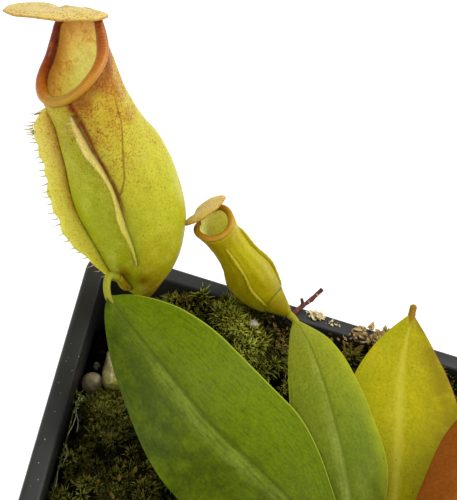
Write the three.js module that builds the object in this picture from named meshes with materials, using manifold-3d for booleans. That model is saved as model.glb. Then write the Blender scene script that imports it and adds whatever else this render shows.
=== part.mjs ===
// A young pitcher plant in a square black nursery pot: the pot, its growing mix under moss cushions,
// a short stem with seven leaves, and two pitchers carried by the tendrils of the first two leaves.
// Millimetres, +Z up. The origin is the middle of the pot's underside, and the pot's sides run along
// X and Y. Angles are in degrees, and an azimuth is counted from +X towards +Y. Heights of the plant
// are counted from the pot's lip.

import * as THREE from "three";
import Module from "manifold-3d";

const wasm = await Module();
wasm.setup();

const CLEARANCE = 0.3; // between two pieces that touch
const THINNEST = 0.6; // a blade's edge

const POT = {
  side: 100, // across the lip
  height: 90,
  base: 73, // across the underside
  lip: 3, // width of the band on top
  collar: 9, // height of the turned-down skirt
  skirt: 1.1, // its thickness
  shelf: 2.2, // thickness of the lip where it meets the wall
  wall: 1.3,
  floor: 1.8,
  corner: 5, // radius of the upright edges
  innerCorner: 3.5, // the same inside
  drain: 7, // width of a drainage hole
  drainInset: 10, // from the edge of the underside to the middle of a hole
  rounding: 0.7, // radius of the lip's outer edge
  innerRounding: 0.5, // radius of its inner edge
  footChamfer: 0.8,
  colour: 0x2c2c2b,
};

const MIX = {
  top: 82.5, // the usual height of the growing mix
  hollow: { x: -43, y: 36, depth: 5, reach: 8 }, // the dark dip in the far left corner
  trench: { x: -47, depth: 3.5, reach: 5 }, // the sunk strip along the left wall
  swell: 0.6, // height of its gentle waves
  wave: 7, // length of one radian of those waves
  colour: 0x2b2118,
};

// Each cushion: its middle, its half-lengths along X and Y, and its height over the mix. Their outlines
// have lobes, and tufts stand out of their tops.
const MOSS = [
  { name: "moss_back_left", x: -24, y: 43.5, halfX: 13.5, halfY: 7, height: 7.3, colour: 0x7d8a2e },
  { name: "moss_back_right", x: 6.5, y: 43, halfX: 14, halfY: 6.5, height: 6.8, colour: 0x6f7a2c },
  { name: "moss_left", x: -35.5, y: 5, halfX: 9, halfY: 20, height: 3.6, colour: 0x5c6628 },
  { name: "moss_front", x: -6, y: -32, halfX: 26, halfY: 12, height: 4.2, colour: 0x66722b },
  { name: "moss_right", x: 33, y: 4, halfX: 11, halfY: 22, height: 4, colour: 0x6d7a2d },
];

const MOSS_LOBES = [
  { count: 3, depth: 0.07 },
  { count: 5, depth: 0.05 },
];
const MOSS_TUFT = { height: 0.45, alongX: 2.1, alongY: 2.3 };

const STEM = {
  foot: 62, // the end in the mix
  profile: [
    [62, 2.6],
    [80, 3],
    [92, 3.2],
    [101, 2.7],
    [104.5, 1.4],
    [106.5, 0.4],
  ], // height and radius
  hole: 3.6, // radius of its hole in the mix
  sides: 12,
  colour: 0x7a8030,
};

// A leaf's rib holds, from the stem outwards, the reach from the stem's axis, the height over the lip
// and the swing of its azimuth. The blade is widest at the share "widest" of its length, and "sides"
// are the shares of half its width on the left and on the right, seen from the stem. "tip" is the power
// that shapes its point: under 1 it is blunt, and 1 or more runs out straight. "droop" is the angle by
// which its margins hang near the stem, "fold" the angle by which they lift near the point, and "roll"
// the angle by which the whole blade lifts its left side.
const LEAVES = [
  {
    name: "leaf_1",
    azimuth: 146,
    rib: [
      [3.6, 8.1, 0],
      [10, 9.6, 0],
      [17.8, 10, 0],
      [33.3, 9.2, 0],
      [42.2, 10.6, 0],
      [49.2, 11.8, 0],
      [55.6, 13.3, 0],
    ],
    tendril: [
      [-46.9, 32.4, 104.4],
      [-46.9, 33.9, 104.4],
      [-45.7, 35.3, 102.8],
    ],
    width: 24,
    widest: 0.45,
    sides: [0.96, 1],
    foot: 5,
    tip: 0.68,
    droop: 5,
    fold: 20,
    roll: -3,
    wave: 0.02,
    rows: 22,
    across: 8,
    colour: 0x6f8f1e,
  },
  {
    name: "leaf_2",
    azimuth: 110,
    rib: [
      [3.6, 6.2, 0],
      [8, 8.4, 0],
      [13.3, 9.2, 0],
      [19.3, 10, 0],
      [25.9, 9.9, 0],
      [32.1, 9.3, 0],
      [40.2, 7.4, 0],
      [46.9, 4, 0],
    ],
    tendril: [[-16.9, 45.3, 93.3]],
    width: 13.4,
    widest: 0.36,
    sides: [1, 1],
    foot: 5,
    tip: 0.85,
    droop: 16,
    fold: 6,
    roll: -10.5,
    wave: 0.03,
    rows: 18,
    across: 8,
    colour: 0x5f7d1f,
  },
  {
    name: "leaf_3",
    azimuth: 87,
    rib: [
      [3.6, 3.1, -6],
      [8, 6.4, -6],
      [14.5, 8, -5],
      [26.4, 6.5, -2],
      [38.7, 4.5, -0.5],
      [44, 4.9, 0],
      [50.4, 6.8, 0.3],
    ],
    tendril: [[2.3, 51.5, 97.6]],
    width: 19,
    widest: 0.6,
    sides: [0.88, 1.08],
    foot: 4.4,
    tip: 1,
    droop: 8,
    fold: 4,
    roll: -4,
    wave: 0.03,
    rows: 18,
    across: 8,
    colour: 0xa5a42a,
  },
  {
    name: "leaf_4",
    azimuth: 58,
    rib: [
      [3.4, 10.8, 0],
      [9, 16, 0],
      [18, 19.5, 0],
      [30, 20.5, 0],
      [42, 18, 0],
    ],
    tendril: [[23.3, 37.6, 107.3]],
    width: 14.5,
    widest: 0.55,
    sides: [1, 1],
    foot: 4,
    tip: 0.8,
    droop: 10,
    fold: 8,
    roll: 5,
    wave: 0.03,
    rows: 14,
    across: 6,
    colour: 0xa85a24,
  },
  {
    name: "leaf_5",
    azimuth: 352,
    rib: [
      [3.6, 2.5, 0],
      [9, 5, 0],
      [20, 7.4, 0],
      [32, 7.6, 0],
      [43, 7, 0],
      [50, 7.8, 0],
    ],
    tendril: [
      [51, -7.3, 98.4],
      [51.9, -7.5, 99.5],
    ],
    width: 20,
    widest: 0.52,
    sides: [1, 1],
    foot: 4.4,
    tip: 0.65,
    droop: 9,
    fold: 12,
    roll: 4,
    wave: 0.04,
    rows: 14,
    across: 6,
    colour: 0x7d8f24,
  },
  {
    name: "leaf_6",
    azimuth: 286,
    rib: [
      [3.5, 5.5, 0],
      [9, 8, 0],
      [20, 10.4, 0],
      [34, 10.2, 0],
      [46, 7.4, 0],
      [53, 6.4, 0],
    ],
    tendril: [
      [14.9, -52, 96.7],
      [15.2, -53, 97.7],
    ],
    width: 22,
    widest: 0.5,
    sides: [1, 0.95],
    foot: 4.4,
    tip: 0.6,
    droop: 9,
    fold: 14,
    roll: -3,
    wave: 0.04,
    rows: 14,
    across: 6,
    colour: 0x6b8520,
  },
  {
    name: "leaf_7",
    azimuth: 214,
    rib: [
      [3.6, 0.5, 0],
      [9, 3, 0],
      [18, 5.4, 0],
      [30, 5.8, 0],
      [41, 4.6, 0],
      [48, 4.6, 0],
    ],
    tendril: [
      [-40.6, -27.4, 95.2],
      [-41.4, -27.9, 96.2],
    ],
    width: 17,
    widest: 0.55,
    sides: [1, 1],
    foot: 4.4,
    tip: 0.7,
    droop: 10,
    fold: 10,
    roll: 3,
    wave: 0.04,
    rows: 14,
    across: 6,
    colour: 0x76882a,
  },
];
const BLADE = { middle: 0.9, keel: 0.9, tendril: 0.65 };
const FOLDING = [0.45, 0.95]; // the shares of its length between which a leaf goes from drooping to folded
const RIPPLE = { alongRib: 16, acrossRib: 2 }; // radians of the margin's waves over the leaf
const ROW_CROWDING = 1.35; // rows close up towards the point, where the outline turns fastest

// A pitcher stands on its base point along an axis, and its front is turned about that axis from the
// side that faces up. Its outline holds the share of the length from the base to the middle of the
// mouth, the radius there and how far the body bows to the back. The mouth slants, and at the back it
// rises in a flat-topped neck. Each wing runs from an angle off the front at its foot to one at its
// head.
const PITCHERS = [
  {
    name: "pitcher_large",
    base: [-40.4, 37.7, 97.2],
    azimuth: 144.1,
    elevation: 48,
    turn: -80,
    length: 36.5,
    outline: [
      [0, 1.2, 0.4],
      [0.03, 2.4, 0.6],
      [0.1, 4.7, 1.8],
      [0.18, 6.5, 2.1],
      [0.28, 7.7, 2.6],
      [0.38, 8.15, 2.6],
      [0.49, 8.15, 2.5],
      [0.59, 7.6, 2.1],
      [0.66, 6.7, 1.3],
      [0.77, 5.9, 0.5],
      [0.88, 5.6, 0.3],
      [1, 5.65, -0.3],
    ],
    wall: 0.9,
    floor: 0.14,
    slant: 30,
    neck: 1.8,
    pinch: 0.16,
    around: 20,
    inlet: [-45.4, 35.6, 102.4],
    inletBend: [-43.6, 37, 99.6],
    wings: [
      { foot: -16, head: -45, height: 2.6, from: 0.12, to: 0.9, spines: 20, spine: 1.2 },
      { foot: 36, head: 21, height: 1.6, from: 0.15, to: 0.93, spines: 20, spine: 1 },
    ],
    rim: { width: 0.95, height: 0.75, ribs: 40 },
    lid: {
      azimuth: 111,
      elevation: 41,
      width: 16.2,
      length: 14,
      thickness: 0.9,
      reach: 5.8,
      sway: 0,
      rise: 0.85,
      dome: 0.9,
    },
    neckWidth: 2.8,
    body: 0xa3a02c,
    rimColour: 0x8a4a1c,
    lidColour: 0xc9a63a,
  },
  {
    name: "pitcher_small",
    base: [-17.7, 45.5, 93.1],
    azimuth: 176.7,
    elevation: 42,
    turn: -39,
    length: 22.2,
    outline: [
      [0, 0.8, 0.2],
      [0.05, 1.7, 1.4],
      [0.13, 3, 2.7],
      [0.24, 3.7, 2.9],
      [0.39, 4.05, 2.6],
      [0.49, 3.75, 1.7],
      [0.59, 3.25, 0.8],
      [0.75, 2.9, 0],
      [0.9, 2.9, -0.4],
      [1, 3.15, -0.8],
    ],
    wall: 0.75,
    floor: 0.2,
    slant: 18.7,
    neck: -0.7,
    pinch: 0.2,
    around: 16,
    inlet: [-17.2, 45.7, 93],
    inletBend: [-17.6, 46, 93],
    wings: [
      { foot: -30, head: -30, height: 0.6, from: 0.16, to: 0.9, spines: 0, spine: 0 },
      { foot: 58, head: 58, height: 0.5, from: 0.16, to: 0.9, spines: 0, spine: 0 },
    ],
    rim: { width: 0.7, height: 0.5, ribs: 28 },
    lid: {
      azimuth: 145,
      elevation: 18,
      width: 7,
      length: 7.2,
      thickness: 0.7,
      reach: 2.9,
      sway: 0.6,
      rise: 0.45,
      dome: 0.4,
    },
    neckWidth: 1.5,
    body: 0xa9a033,
    rimColour: 0xa8752a,
    lidColour: 0xc2a23e,
  },
];
const NECK_HALF = Math.cos(THREE.MathUtils.degToRad(40)); // the flat top of a neck takes 40 degrees each way
const WING_THICKNESS = 0.7;
const WING_TURNING = [0.15, 0.65]; // the shares of its length between which a wing changes its angle
const SPINE_FOOT = 0.28; // radius of a spine where it leaves the wing
const RIB_SWELL = 0.06; // how far the rim's ribs stand out, as a share of its section
const LID_NOTCH = { depth: 0.16, halfTurn: 0.45 }; // where the lid meets its neck
const LID_OVATE = 0.12;

const TWIG = {
  path: [
    [-15.9, 45.2, 90.1],
    [-14.6, 48, 90.9],
    [-13.2, 50.6, 91.2],
    [-11.9, 53.1, 92.1],
  ],
  radius: 0.42,
  stub: [
    [-13.9, 49.2, 91],
    [-14.5, 50, 91.7],
  ],
  colour: 0x5a3325,
};
const PRILL = { x: -43.6, y: 31.4, diameter: 3.5, colour: 0xa79a82 };
const CHIP = {
  from: [-40.7, 37.6],
  to: [-39.3, 29.6],
  thin: 0.9,
  thick: 2,
  lift: 0.9,
  knob: 0.1,
  colour: 0xd3cba0,
};
const PEBBLE = { x: -21, y: 43.4, z: 91, diameter: 1.7, colour: 0xc9c3b4 };

const SEED = 11;

function heading(azimuth, elevation = 0) {
  const turn = THREE.MathUtils.degToRad(azimuth);
  const lift = THREE.MathUtils.degToRad(elevation);
  return new THREE.Vector3(
    Math.cos(lift) * Math.cos(turn),
    Math.cos(lift) * Math.sin(turn),
    Math.sin(lift),
  );
}

// The origin point moved by each of the given directions times its amount.
function along(origin, ...moves) {
  const point = origin.clone();
  for (const [direction, amount] of moves) point.addScaledVector(direction, amount);
  return point;
}

// Draws between 0 and 1 that are the same on every run.
function seededDraws(seed) {
  let state = seed;
  return () => {
    state = (state * 1664525 + 1013904223) % 4294967296;
    return state / 4294967296;
  };
}

function middleOf(points) {
  const sum = new THREE.Vector3();
  for (const point of points) sum.add(point);
  return sum.divideScalar(points.length);
}

function closedGeometry(points, triangles) {
  const geometry = new THREE.BufferGeometry();
  geometry.setAttribute(
    "position",
    new THREE.Float32BufferAttribute(points.flatMap((p) => [p.x, p.y, p.z]), 3),
  );
  geometry.setIndex(triangles);
  return geometry;
}

// A closed body through rings of points, each counter-clockwise seen from the way the rings go. The
// ends are closed to a middle point, which may stand out as a tip.
function loft(rings, start = middleOf(rings[0]), end = middleOf(rings.at(-1))) {
  const sides = rings[0].length;
  const points = [...rings.flat(), start, end];
  const triangles = [];
  const last = (rings.length - 1) * sides;
  for (let k = 0; k < last; k += sides) {
    for (let i = 0; i < sides; i++) {
      const next = (i + 1) % sides;
      triangles.push(k + i, k + next, k + sides + next);
      triangles.push(k + i, k + sides + next, k + sides + i);
    }
  }
  for (let i = 0; i < sides; i++) {
    const next = (i + 1) % sides;
    triangles.push(points.length - 2, next, i);
    triangles.push(points.length - 1, last + i, last + next);
  }
  return closedGeometry(points, triangles);
}

// The same with the last ring joined to the first, as in a tyre.
function ringLoft(rings) {
  const sides = rings[0].length;
  const points = rings.flat();
  const triangles = [];
  for (let k = 0; k < rings.length; k++) {
    const here = k * sides;
    const there = ((k + 1) % rings.length) * sides;
    for (let i = 0; i < sides; i++) {
      const next = (i + 1) % sides;
      triangles.push(here + i, here + next, there + next);
      triangles.push(here + i, there + next, there + i);
    }
  }
  return closedGeometry(points, triangles);
}

// A thin body between an upper and a lower grid of points, split into triangles alike on both faces.
function sheet(upper, lower) {
  const rows = upper.length;
  const columns = upper[0].length;
  const points = [...upper.flat(), ...lower.flat()];
  const under = rows * columns;
  const triangles = [];
  for (let i = 0; i < rows - 1; i++) {
    for (let j = 0; j < columns - 1; j++) {
      const a = i * columns + j;
      const b = a + columns;
      triangles.push(a, b, b + 1, a, b + 1, a + 1);
      triangles.push(under + a, under + b + 1, under + b, under + a, under + a + 1, under + b + 1);
    }
  }
  const border = [];
  for (let i = 0; i < rows - 1; i++) border.push(i * columns);
  for (let j = 0; j < columns - 1; j++) border.push((rows - 1) * columns + j);
  for (let i = rows - 1; i > 0; i--) border.push(i * columns + columns - 1);
  for (let j = columns - 1; j > 0; j--) border.push(j);
  border.forEach((p, k) => {
    const q = border[(k + 1) % border.length];
    triangles.push(q, p, under + p, q, under + p, under + q);
  });
  return closedGeometry(points, triangles);
}

// A round bar along a curve, with a radius for each share of its length.
function bar(curve, radiusAt, sides, steps) {
  const frames = curve.computeFrenetFrames(steps);
  const rings = [];
  for (let k = 0; k <= steps; k++) {
    const middle = curve.getPointAt(k / steps);
    const radius = radiusAt(k / steps);
    rings.push(
      Array.from({ length: sides }, (_, i) => {
        const turn = (2 * Math.PI * i) / sides;
        return along(
          middle,
          [frames.normals[k], radius * Math.cos(turn)],
          [frames.binormals[k], radius * Math.sin(turn)],
        );
      }),
    );
  }
  return loft(rings);
}

function curveThrough(points) {
  return new THREE.CatmullRomCurve3(
    points.map((p) => (p.isVector3 ? p : new THREE.Vector3(...p))),
    false,
    "centripetal",
  );
}

// A value read off a list of rows at a share of the way, by a smooth curve through them.
function profileAt(rows, share) {
  let k = 0;
  while (k < rows.length - 2 && share > rows[k + 1][0]) k++;
  const before = rows[Math.max(k - 1, 0)];
  const from = rows[k];
  const to = rows[k + 1];
  const after = rows[Math.min(k + 2, rows.length - 1)];
  const span = to[0] - from[0];
  const u = Math.min(Math.max((share - from[0]) / span, 0), 1);
  return from.slice(1).map((value, column) => {
    const c = column + 1;
    const leave = ((to[c] - before[c]) / (to[0] - before[0])) * span;
    const arrive = ((after[c] - from[c]) / (after[0] - from[0])) * span;
    const rest = to[c] - value;
    return value + u * (leave + u * (3 * rest - 2 * leave - arrive + u * (leave + arrive - 2 * rest)));
  });
}

function solidOf(geometry) {
  return new wasm.Manifold(
    new wasm.Mesh({
      numProp: 3,
      vertProperties: new Float32Array(geometry.attributes.position.array),
      triVerts: new Uint32Array(geometry.index.array),
    }),
  );
}

function geometryOf(solid) {
  const made = solid.getMesh();
  const geometry = new THREE.BufferGeometry();
  geometry.setAttribute("position", new THREE.BufferAttribute(made.vertProperties, 3));
  geometry.setIndex(new THREE.BufferAttribute(made.triVerts, 1));
  return geometry;
}

function join(geometries) {
  const solids = geometries.map(solidOf);
  return geometryOf(solids.reduce((whole, piece) => whole.add(piece)));
}

function cutFrom(geometry, cutters) {
  const whole = cutters.map(solidOf).reduce((rest, cutter) => rest.subtract(cutter), solidOf(geometry));
  return geometryOf(whole);
}

const plant = new THREE.Group();

function addPiece(name, geometry, colour, roughness) {
  const material = new THREE.MeshStandardMaterial({ color: colour, roughness, metalness: 0 });
  const mesh = new THREE.Mesh(geometry, material);
  mesh.name = name;
  plant.add(mesh);
}

// A square with round corners at one height, counter-clockwise seen from above. Each straight side is
// split into the given number of steps.
function roundSquare(half, radius, height, sideSteps = 1) {
  const cornerSteps = 5;
  const centre = new THREE.Vector2();
  const straight = half - radius;
  const points = [];
  for (let corner = 0; corner < 4; corner++) {
    const turned = (corner * Math.PI) / 2;
    const outline = [];
    for (let k = 0; k <= cornerSteps; k++) {
      const turn = (k / cornerSteps) * (Math.PI / 2);
      outline.push([straight + radius * Math.cos(turn), straight + radius * Math.sin(turn)]);
    }
    for (let k = 1; k < sideSteps; k++) outline.push([straight * (1 - (2 * k) / sideSteps), half]);
    for (const [x, y] of outline) {
      const place = new THREE.Vector2(x, y).rotateAround(centre, turned);
      points.push(new THREE.Vector3(place.x, place.y, height));
    }
  }
  return points;
}

// Half the width of the pot's inside at a height.
function potInside(height) {
  const top = POT.side / 2 - POT.lip;
  const bottom = POT.base / 2 - POT.wall;
  return bottom + ((top - bottom) * height) / POT.height;
}

function makePot() {
  const outer = POT.side / 2;
  const underShelf = POT.height - POT.shelf;
  const skirtFoot = POT.height - POT.collar;
  const round = POT.rounding;
  const innerRound = POT.innerRounding;
  const skirtInside = outer - POT.skirt;
  const draught = 0.3; // the skirt spreads by this much towards the lip
  const section = [
    [POT.base / 2 - POT.footChamfer, 0, POT.corner],
    [POT.base / 2, POT.footChamfer, POT.corner],
    [potInside(underShelf) + POT.wall, underShelf, POT.corner],
    [skirtInside - draught / 3, underShelf, POT.corner],
    [skirtInside - draught - 0.1, skirtFoot, POT.corner],
    [outer - draught, skirtFoot, POT.corner],
    [outer, POT.height - round, POT.corner],
    [outer - round * 0.3, POT.height - round * 0.3, POT.corner],
    [outer - round, POT.height, POT.corner],
    [outer - POT.lip + innerRound, POT.height, POT.innerCorner],
    [potInside(POT.height - innerRound), POT.height - innerRound, POT.innerCorner],
    [potInside(POT.floor), POT.floor, POT.innerCorner],
  ]; // half-width, height and corner radius
  const rings = section.map(([half, height, corner]) => roundSquare(half, corner, height));
  const holes = [];
  const place = POT.base / 2 - POT.drainInset;
  for (const x of [-place, 0, place]) {
    for (const y of [-place, 0, place]) {
      if (x === 0 && y === 0) continue;
      const hole = new THREE.CylinderGeometry(POT.drain / 2, POT.drain / 2, 3 * POT.floor, 12);
      hole.rotateX(Math.PI / 2);
      hole.translate(x, y, POT.floor / 2);
      holes.push(weld(hole));
    }
  }
  addPiece("pot", cutFrom(loft(rings), holes), POT.colour, 0.45);
}

// The height of the growing mix at a place.
function mixHeight(x, y) {
  const { hollow, trench } = MIX;
  const away = Math.hypot(x - hollow.x, y - hollow.y) / hollow.reach;
  const besideWall = (x - trench.x) / trench.reach;
  const reachesIn = THREE.MathUtils.smoothstep(y, -20, 0);
  return (
    MIX.top -
    hollow.depth * Math.exp(-away * away) -
    trench.depth * reachesIn * Math.exp(-besideWall * besideWall) +
    MIX.swell * Math.sin(x / MIX.wave + 1) * Math.cos(y / (MIX.wave - 1))
  );
}

function makeGrowingMix() {
  const bottom = POT.floor + CLEARANCE;
  const shares = [1, 0.94, 0.87, 0.79, 0.7, 0.6, 0.49, 0.37, 0.25, 0.12];
  const sideSteps = 9;
  const lowest = MIX.top - MIX.hollow.depth - MIX.trench.depth;
  const inset = (height) => potInside(height) - CLEARANCE;
  const edge = roundSquare(inset(lowest), POT.innerCorner, 0, sideSteps);
  const top = shares.map((share) =>
    edge.map((p) => {
      const x = p.x * share;
      const y = p.y * share;
      return new THREE.Vector3(x, y, mixHeight(x, y));
    }),
  );
  const foot = roundSquare(inset(bottom), POT.innerCorner, bottom, sideSteps);
  const shoulderDrop = 1; // the side stays plain up to this far below the lowest point of the top
  const shoulder = roundSquare(inset(lowest), POT.innerCorner, lowest - shoulderDrop, sideSteps);
  const body = loft([foot, shoulder, ...top]);
  const hole = loft([
    circle(new THREE.Vector3(0, 0, STEM.foot - CLEARANCE), STEM.hole, STEM.sides),
    circle(new THREE.Vector3(0, 0, POT.height), STEM.hole, STEM.sides),
  ]);
  addPiece("growing_mix", cutFrom(body, [hole]), MIX.colour, 0.95);
}

function circle(middle, radius, sides) {
  return Array.from({ length: sides }, (_, i) => {
    const turn = (2 * Math.PI * i) / sides;
    return new THREE.Vector3(
      middle.x + radius * Math.cos(turn),
      middle.y + radius * Math.sin(turn),
      middle.z,
    );
  });
}

// A low cushion of moss on the mix, its top broken up by the tips of its shoots.
function makeMoss({ name, x, y, halfX, halfY, height, colour }) {
  const sides = 24;
  const wall = potInside(MIX.top - MIX.hollow.depth) - CLEARANCE;
  const ringAt = (share, topSide) =>
    Array.from({ length: sides }, (_, i) => {
      const turn = (2 * Math.PI * i) / sides;
      const [wide, small] = MOSS_LOBES;
      const lobes =
        1 + wide.depth * Math.sin(wide.count * turn + x) + small.depth * Math.sin(small.count * turn + y);
      const limit = wall - CLEARANCE * (1 - share);
      const px = THREE.MathUtils.clamp(x + halfX * lobes * share * Math.cos(turn), -limit, limit);
      const py = THREE.MathUtils.clamp(y + halfY * lobes * share * Math.sin(turn), -limit, limit);
      const ground = mixHeight(px, py) + CLEARANCE;
      if (!topSide) return new THREE.Vector3(px, py, ground);
      const crown = height * Math.sqrt(1 - 0.97 * share ** 3);
      const tuft =
        MOSS_TUFT.height * Math.sin(px * MOSS_TUFT.alongX) * Math.sin(py * MOSS_TUFT.alongY + px);
      return new THREE.Vector3(px, py, ground + Math.max(crown + tuft, THINNEST));
    });
  const rings = [
    ...[0.3, 0.65, 1].map((share) => ringAt(share, false)),
    ...[1, 0.9, 0.75, 0.57, 0.38, 0.18].map((share) => ringAt(share, true)),
  ];
  addPiece(name, loft(rings), colour, 0.95);
}

function makeStem() {
  const rings = STEM.profile.map(([z, radius]) =>
    circle(new THREE.Vector3(0, 0, z), radius, STEM.sides),
  );
  addPiece("stem", loft(rings), STEM.colour, 0.6);
}

function ribCurve(leaf) {
  return curveThrough(
    leaf.rib.map(([reach, height, swing]) =>
      heading(leaf.azimuth + swing)
        .multiplyScalar(reach)
        .setZ(POT.height + height),
    ),
  );
}

// Half the leaf's width at a share of its length.
function halfWidth(leaf, share) {
  if (share < leaf.widest) {
    const grown = THREE.MathUtils.smoothstep(share, 0, leaf.widest);
    return THREE.MathUtils.lerp(leaf.foot, leaf.width, grown) / 2;
  }
  const past = (share - leaf.widest) / (1 - leaf.widest);
  return Math.max((leaf.width / 2) * (1 - past * past) ** leaf.tip, THINNEST);
}

function makeLeaf(leaf) {
  const rib = ribCurve(leaf);
  const upper = [];
  const lower = [];
  const up = new THREE.Vector3(0, 0, 1);
  const roll = THREE.MathUtils.degToRad(leaf.roll);
  const [leftShare, rightShare] = leaf.sides;
  for (let i = 0; i <= leaf.rows; i++) {
    const share = 1 - (1 - i / leaf.rows) ** ROW_CROWDING;
    const middle = rib.getPointAt(share);
    const forward = rib.getTangentAt(share);
    const level = new THREE.Vector3().crossVectors(up, forward).normalize();
    const upright = new THREE.Vector3().crossVectors(forward, level);
    const side = level.clone().multiplyScalar(Math.cos(roll)).addScaledVector(upright, Math.sin(roll));
    const normal = new THREE.Vector3().crossVectors(forward, side);
    const half = halfWidth(leaf, share);
    const folded = THREE.MathUtils.smoothstep(share, ...FOLDING);
    const bend = Math.tan(THREE.MathUtils.degToRad(THREE.MathUtils.lerp(-leaf.droop, leaf.fold, folded)));
    const top = [];
    const bottom = [];
    for (let j = 0; j <= leaf.across; j++) {
      const v = (2 * j) / leaf.across - 1;
      const reach = half * (v > 0 ? leftShare : rightShare);
      const phase = RIPPLE.alongRib * share + RIPPLE.acrossRib * v + leaf.azimuth;
      const lift = reach * v * v * (bend + leaf.wave * Math.sin(phase));
      const thickness = THREE.MathUtils.lerp(BLADE.middle, THINNEST, Math.abs(v));
      const ridge = v === 0 ? THREE.MathUtils.lerp(BLADE.keel, 0.2, share) : 0;
      const centre = along(middle, [side, reach * v], [normal, lift]);
      top.push(along(centre, [normal, thickness / 2]));
      bottom.push(along(centre, [normal, -thickness / 2 - ridge]));
    }
    upper.push(top);
    lower.push(bottom);
  }
  const lead = along(rib.getPointAt(0.93), [up, -0.3]);
  const tip = leaf.tendril.map((p) => new THREE.Vector3(...p));
  const tendril = bar(
    curveThrough([lead, rib.getPointAt(1), ...tip]),
    (share) => BLADE.tendril * (1 - 0.3 * (1 - share)),
    6,
    4 + 2 * tip.length,
  );
  addPiece(leaf.name, join([sheet(upper, lower), tendril]), leaf.colour, 0.4);
}

// The frame of a pitcher: its base, its axis, its front and the side to the left of the front.
function pitcherFrame(pitcher) {
  const axis = heading(pitcher.azimuth, pitcher.elevation);
  const upSide = heading(pitcher.azimuth, pitcher.elevation - 90).negate();
  const across = new THREE.Vector3().crossVectors(axis, upSide);
  const turn = THREE.MathUtils.degToRad(pitcher.turn);
  const front = upSide.clone().multiplyScalar(Math.cos(turn)).addScaledVector(across, Math.sin(turn));
  const side = new THREE.Vector3().crossVectors(axis, front);
  return { base: new THREE.Vector3(...pitcher.base), axis, front, side };
}

// A point of the pitcher's wall: share 0 is its base and 1 its mouth, and angle 0 is its front.
function wallPoint(pitcher, frame, share, angle, inset = 0) {
  const [radius, bow] = profileAt(pitcher.outline, share);
  const towardsFront = Math.cos(angle);
  const slope = Math.tan(THREE.MathUtils.degToRad(pitcher.slant));
  const slanted = THREE.MathUtils.smoothstep(share, 0.35, 1);
  const atBack = Math.min(-towardsFront / NECK_HALF, 1);
  const raised = Math.max(atBack, 0) ** 3;
  const narrowed = 1 - pitcher.pinch * slanted * raised;
  const rise = slanted * (pitcher.neck * raised - slope * radius * towardsFront);
  return along(
    frame.base,
    [frame.axis, share * pitcher.length + rise],
    [frame.front, (radius - inset) * towardsFront - bow],
    [frame.side, (radius - inset) * Math.sin(angle) * narrowed],
  );
}

function makeCup(pitcher, frame) {
  const outerShares = [0, 0.02, 0.06, 0.12, 0.2, 0.29, 0.39, 0.49, 0.59, 0.69, 0.79, 0.88, 0.95, 1];
  const innerShares = outerShares.filter((share) => share > pitcher.floor).reverse();
  const ringAt = (share, inset) =>
    Array.from({ length: pitcher.around }, (_, i) =>
      wallPoint(pitcher, frame, share, (2 * Math.PI * i) / pitcher.around, inset),
    );
  const floorRing = ringAt(pitcher.floor, pitcher.wall * 2.4);
  const body = loft([
    ...outerShares.map((share) => ringAt(share, 0)),
    ...innerShares.map((share) => ringAt(share, pitcher.wall)),
    floorRing,
  ]);
  const inlet = new THREE.Vector3(...pitcher.inlet);
  const bend = new THREE.Vector3(...pitcher.inletBend);
  const inside = along(frame.base, [frame.axis, pitcher.length * 0.05]);
  const horn = bar(
    curveThrough([inlet, bend, inside]),
    (share) => THREE.MathUtils.lerp(BLADE.tendril, pitcher.wall * 2, share),
    8,
    6,
  );
  const wings = pitcher.wings.flatMap((wing) => makeWing(pitcher, frame, wing));
  addPiece(pitcher.name + "_cup", join([body, horn, ...wings]), pitcher.body, 0.45);
}

// A wing is a thin flap along the body, with a fringe of soft spines on the edge.
function makeWing(pitcher, frame, wing) {
  const { foot, head, height, from, to, spines, spine } = wing;
  const steps = 16;
  const placeAt = (way) => {
    const turned = THREE.MathUtils.lerp(foot, head, THREE.MathUtils.smoothstep(way, ...WING_TURNING));
    const angle = THREE.MathUtils.degToRad(turned);
    const root = wallPoint(pitcher, frame, THREE.MathUtils.lerp(from, to, way), angle);
    const out = along(new THREE.Vector3(), [frame.front, Math.cos(angle)], [frame.side, Math.sin(angle)]);
    const thick = new THREE.Vector3().crossVectors(frame.axis, out);
    const edge = height * Math.min(1, 0.1 + 3 * way, 0.7 + 4 * (1 - way));
    return { root, out, thick, edge };
  };
  const rings = [];
  for (let k = 0; k <= steps; k++) {
    const { root, out, thick, edge } = placeAt(k / steps);
    const half = WING_THICKNESS / 2;
    rings.push([
      along(root, [out, -pitcher.wall / 2], [thick, -half]),
      along(root, [out, edge], [thick, -THINNEST / 2]),
      along(root, [out, edge], [thick, THINNEST / 2]),
      along(root, [out, -pitcher.wall / 2], [thick, half]),
    ]);
  }
  const draw = seededDraws(SEED + foot);
  const fringe = [];
  for (let k = 0; k < spines; k++) {
    const { root, out, thick, edge } = placeAt((k + 0.5) / spines);
    const bulb = along(root, [out, edge - THINNEST]);
    const length = spine * (0.75 + 0.5 * draw());
    const tip = along(
      bulb,
      [out, THINNEST + length],
      [thick, spine * (draw() - 0.5)],
      [frame.axis, spine * (draw() - 0.3)],
    );
    const ring = [0, 1, 2].map((i) => {
      const around = (2 * Math.PI * i) / 3;
      return along(
        bulb,
        [thick, SPINE_FOOT * Math.cos(around)],
        [frame.axis, SPINE_FOOT * Math.sin(around)],
      );
    });
    fringe.push(loft([ring], bulb, tip));
  }
  return [loft(rings), ...fringe];
}

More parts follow.
